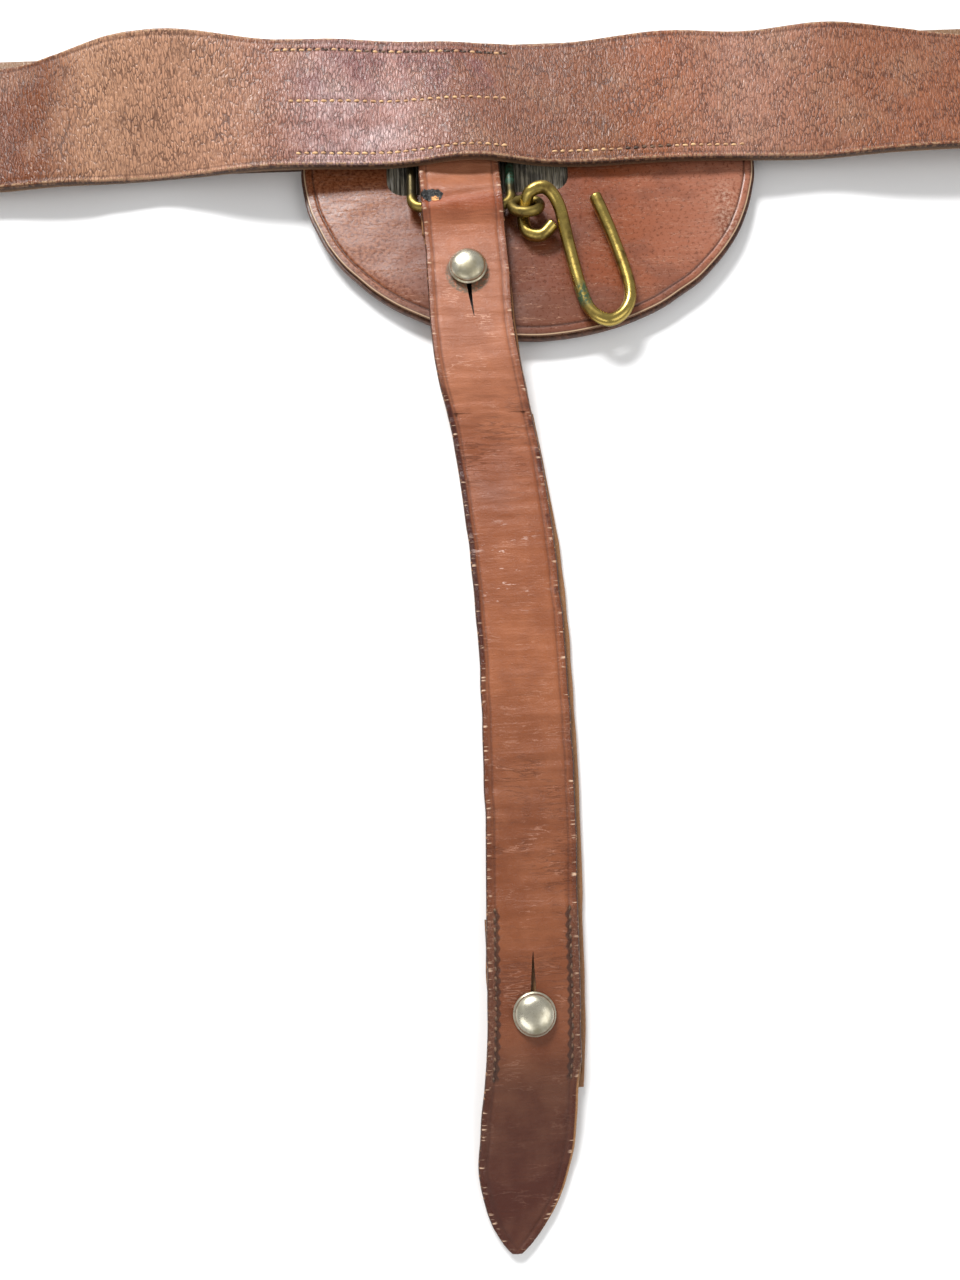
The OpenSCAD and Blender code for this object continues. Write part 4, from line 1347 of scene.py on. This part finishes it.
RING_R = 1.5 * MM
RING_TOP, RING_LOW = (-9 * MM, 6.0 * MM), (-34.5 * MM, 9.6 * MM)    # Y and Z of the two bars
EYE_CENTRE = joint_place("hook_swivel")


def make_ring():
    """The rectangular ring, whose top bar is sewn behind the belt, with the hook's eye at a low corner."""
    (top_y, top_z), (low_y, low_z) = RING_TOP, RING_LOW
    x0, x1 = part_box("hanger_ring")[0].x + RING_R, 15.8 * MM
    length = math.hypot(top_y - low_y, top_z - low_z)
    loop = rounded_rectangle((x0, 0), (x1, length), 3.2 * MM, 10)
    path = [(x, low_y + (top_y - low_y) * v / length, low_z + (top_z - low_z) * v / length) for x, v in loop]
    worn = 1 + 0.03 * value_noise(np.arange(len(path)) / 9, np.zeros(len(path)), 91)
    wire = tube("ring_wire", path, RING_R * worn, sides=28, closed=True)
    tilt = math.radians(32)
    eye = [EYE_CENTRE + 4.3 * MM * np.array((math.cos(a), math.cos(tilt) * math.sin(a),
                                             -math.sin(tilt) * math.sin(a)))
           for a in np.linspace(0, 2 * math.pi, 72, endpoint=False)]
    ring = joined("ring_with_eye", [wire, tube("ring_eye", eye, RING_R, sides=28, closed=True)])
    return finish_piece(ring, dull_brass, "belt", "aged_brass", "hanger_ring")


HOOK_POINTS = [(27.8, -42.1, 9.8), (24.6, -44.7, 8.9), (20.6, -43.4, 8.4), (19.4, -39.2, 8.4),
               (20.1, -35.6, 10.2),
               (21.4, -33.2, 13.4), (26, -32.6, 14.2), (29.9, -37, 12), (32.5, -48, 9), (35.4, -62.5, 8.4),
               (38.2, -70, 8.4), (43.6, -73, 8.4), (48.6, -69.5, 8.4), (50, -62, 8.4), (46, -45.5, 8.4),
               (41.5, -33, 9.4)]


def make_hook():
    wire = 1.9 * MM
    path, radii = rounded_ends(catmull(np.array(HOOK_POINTS) * MM, 14), wire)
    dents = 1 + 0.025 * value_noise(np.arange(len(path)) / 11, np.zeros(len(path)), 92)
    return finish_piece(tube("hook_wire", path, radii * dents, sides=32), brass, "hook", "aged_brass", "hook")


make_ring()
make_hook()


# ---- Stitching ----

def stitches(name, places, thread, body, node, seed, lift=0.16 * MM, width=0.34 * MM):
    """Raised stitches: each place is (surface point, unit direction, unit surface normal, length)."""
    rng = random.Random(seed)
    cloud, cells = [], []
    rings, sides = 9, 8
    for point, way, normal, length in places:
        length *= rng.uniform(0.80, 1.06)
        side = unit(np.cross(normal, way))
        skew = way + side * rng.uniform(-0.10, 0.10)
        fat = width * rng.uniform(0.85, 1.12)
        base = len(cloud)
        for i in range(rings):
            u = i / (rings - 1)
            bow = math.sin(math.pi * u)
            middle = point + skew * (u - 0.5) * length + normal * ((lift + fat * 0.55) * bow - fat * 0.6)
            r = fat * (0.35 + 0.65 * bow ** 0.5)
            for k in range(sides):
                a = 2 * math.pi * k / sides
                cloud.append(middle + side * r * 1.12 * math.cos(a) + normal * r * 0.8 * math.sin(a))
        cells += sleeve_cells(rings, sides, base=base)
    return finish_piece(outward(new_object(name, cloud, cells)), THREADS[thread], body, thread,
                        *([node] if node else []))


def surface_place(tree, x, y, way, length):
    """The place of one stitch: the point under (x, y), with the surface's own slope."""
    here = hit(tree, (x, y, 0.1), (0, 0, -1))
    d = 1.2 * MM
    ahead = hit(tree, (x + way[0] * d, y + way[1] * d, 0.1), (0, 0, -1))
    behind = hit(tree, (x - way[0] * d, y - way[1] * d, 0.1), (0, 0, -1))
    beside = hit(tree, (x - way[1] * d, y + way[0] * d, 0.1), (0, 0, -1))
    direction = unit(ahead - behind)
    normal = unit(np.cross(direction, beside - here))
    return here, direction, normal if normal[2] > 0 else -normal, length


def belt_row(y, first, last, seed):
    """Places along the belt at a fixed distance from its centre line."""
    rng = random.Random(seed)
    out = []
    for x in np.arange(first * MM, last * MM, STITCH_PITCH):
        i = int(np.argmin(np.abs(run_points[:, 0] - x) + 10 * (run_normals[:, 2] < 0.7)))
        spot = run_points[i] + run_sides[i] * (y * MM + rng.uniform(-0.12, 0.12) * MM)
        out.append(surface_place(belt_tree, x, spot[1], (1, 0), STITCH_LENGTH))
    return out


top_row = belt_row(17, -54, 17, 11)
middle_row = belt_row(0, -50, 16, 12)
worn_rng = random.Random(5)
dark_top = [worn_rng.random() < 0.3 for _ in top_row]
right_row = belt_row(-17, 30, 88, 14)
guard_row = belt_row(-17, -48, 16, 13) + right_row[:9] + right_row[15:]
chape_rows = [surface_place(belt_tree, x * MM, y * MM, (0, 1), STITCH_LENGTH)
              for x in (-202, -197) for y in np.arange(-16, 16.1, 2.5)]
patch_rows = [p for p, d in zip(top_row, dark_top) if not d] + middle_row
stitches("patch_stitches", patch_rows, "light_thread", "belt", "patch_stitching", 2)
stitches("patch_stitches_worn", [p for p, d in zip(top_row, dark_top) if d], "dark_thread", "belt", None, 3)
stitches("guard_stitches", guard_row, "light_thread", "belt", "guard_stitching", 4)
stitches("guard_stitches_worn", right_row[9:15], "dark_thread", "belt", None, 5)
stitches("chape_stitches", chape_rows, "light_thread", "belt", "chape_stitching", 6)


def sling_row(side):
    out = []
    for y in np.arange(-284, -240, 2.5) * MM:
        i = int(np.argmin(np.abs(all_front[:, 1] - y)))
        x = all_front[i, 0] + side * 10.1 * MM
        out.append(surface_place(strap_tree, x, y, (0.22 * side, 0.97), STITCH_LENGTH * 0.8))
    return out


stitches("sling_stitches", sling_row(-1) + sling_row(1), "dark_thread", "sling_lower", "sling_stitching", 7,
         width=0.36 * MM, lift=0.12 * MM)


# ---- Hanger behind the belt ----

def make_hanger():
    low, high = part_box("hanger_patch")
    keep = (run_normals[:, 2] > 0.8) & (run_points[:, 0] > low.x) & (run_points[:, 0] < high.x)
    grain = run_points[keep] - run_normals[keep] * (BELT_T + 0.32 * MM) + run_sides[keep] * 5 * MM
    patch = ribbon("hanger_patch_leather", grain, run_sides[keep], run_normals[keep], 14 * MM, 14 * MM,
                   0.88 * MM, columns=16, edge=0.3 * MM)
    finish_piece(patch, keeper_skin, "belt", "belt_leather", "hanger_patch")
    bar = (0, *RING_TOP)
    tab_low, tab_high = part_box("ring_tab")
    turn = (tab_high.z - tab_low.z) / 2
    tongue = bar[1] + 15 * MM
    points, normals = [], []
    top_z = bar[2] + RING_R - 1.6 * MM + 2 * 1.3 * MM - 0.1 * MM
    for y in np.arange(tongue, bar[1] + 1 * MM, -0.8 * MM):
        u = ease((tongue - y) / (tongue - bar[1]))
        points.append((0, y, top_z + (bar[2] + turn - top_z) * u)), normals.append((0, 0, 1))
    for a in np.radians(np.linspace(96, 264, 29)):
        points.append((0, bar[1] + turn * math.cos(a), bar[2] + turn * math.sin(a)))
        normals.append((0, math.cos(a), math.sin(a)))
    end_z = bar[2] + RING_R - 1.6 * MM
    for y in np.arange(bar[1] + 0.8 * MM, tongue, 0.8 * MM):
        u = ease((y - bar[1]) / (5 * MM))
        points.append((0, y, bar[2] - turn + (end_z - bar[2] + turn) * u)), normals.append((0, 0, -1))
    half = (tab_high.x - tab_low.x) / 2
    tab = ribbon("ring_tab_leather", points, along_x(points), normals, half, half, 1.25 * MM, columns=16,
                 edge=0.4 * MM)
    finish_piece(tab, keeper_skin, "belt", "sling_leather", "ring_tab")


make_hanger()
for name in ("upper_stud_screw", "lower_stud_screw"):
    for material_slot in frame["nodes"][name].material_slots:
        material_slot.material = nickel
    if not frame["nodes"][name].material_slots:
        frame["nodes"][name].data.materials.append(nickel)


# ---- Floor and light ----

def make_floor():
    s = Shader("studio_floor")
    s.put("Base Color", (0.92, 0.92, 0.92, 1))
    s.put("Roughness", 0.9)
    s.put("Specular IOR Level", 0.1)
    floor = new_object("floor", [(-4, -4, 0), (4, -4, 0), (4, 4, 0), (-4, 4, 0)], [(0, 1, 2, 3)],
                       smooth=False)
    floor.location.z = cad_box[0][2] - 0.05 * MM
    floor.data.materials.append(s.material)


def area_light(name, place, target, size, power, colour=(1, 1, 1)):
    data = bpy.data.lights.new(name, "AREA")
    data.shape = "RECTANGLE"
    data.size, data.size_y = size
    data.energy = power
    data.color = colour
    lamp = bpy.data.objects.new(name, data)
    lamp.location = place
    lamp.rotation_euler = (Vector(target) - Vector(place)).to_track_quat("-Z", "Y").to_euler()
    bpy.context.scene.collection.objects.link(lamp)


make_floor()
world = bpy.data.worlds.new("studio")
world.use_nodes = True
world.node_tree.nodes["Background"].inputs[0].default_value = (1, 1, 1, 1)
world.node_tree.nodes["Background"].inputs[1].default_value = 0.45
bpy.context.scene.world = world
middle = (0, -0.13, 0)
area_light("key", (-0.25, 0.55, 0.60), middle, (0.35, 0.18), 11.0)
area_light("fill", (0.7, -0.5, 0.8), middle, (0.9, 0.6), 3.2)
area_light("front", (-0.5, -0.9, 0.7), middle, (0.9, 0.5), 2.6)
bpy.context.scene.view_settings.view_transform = "Standard"
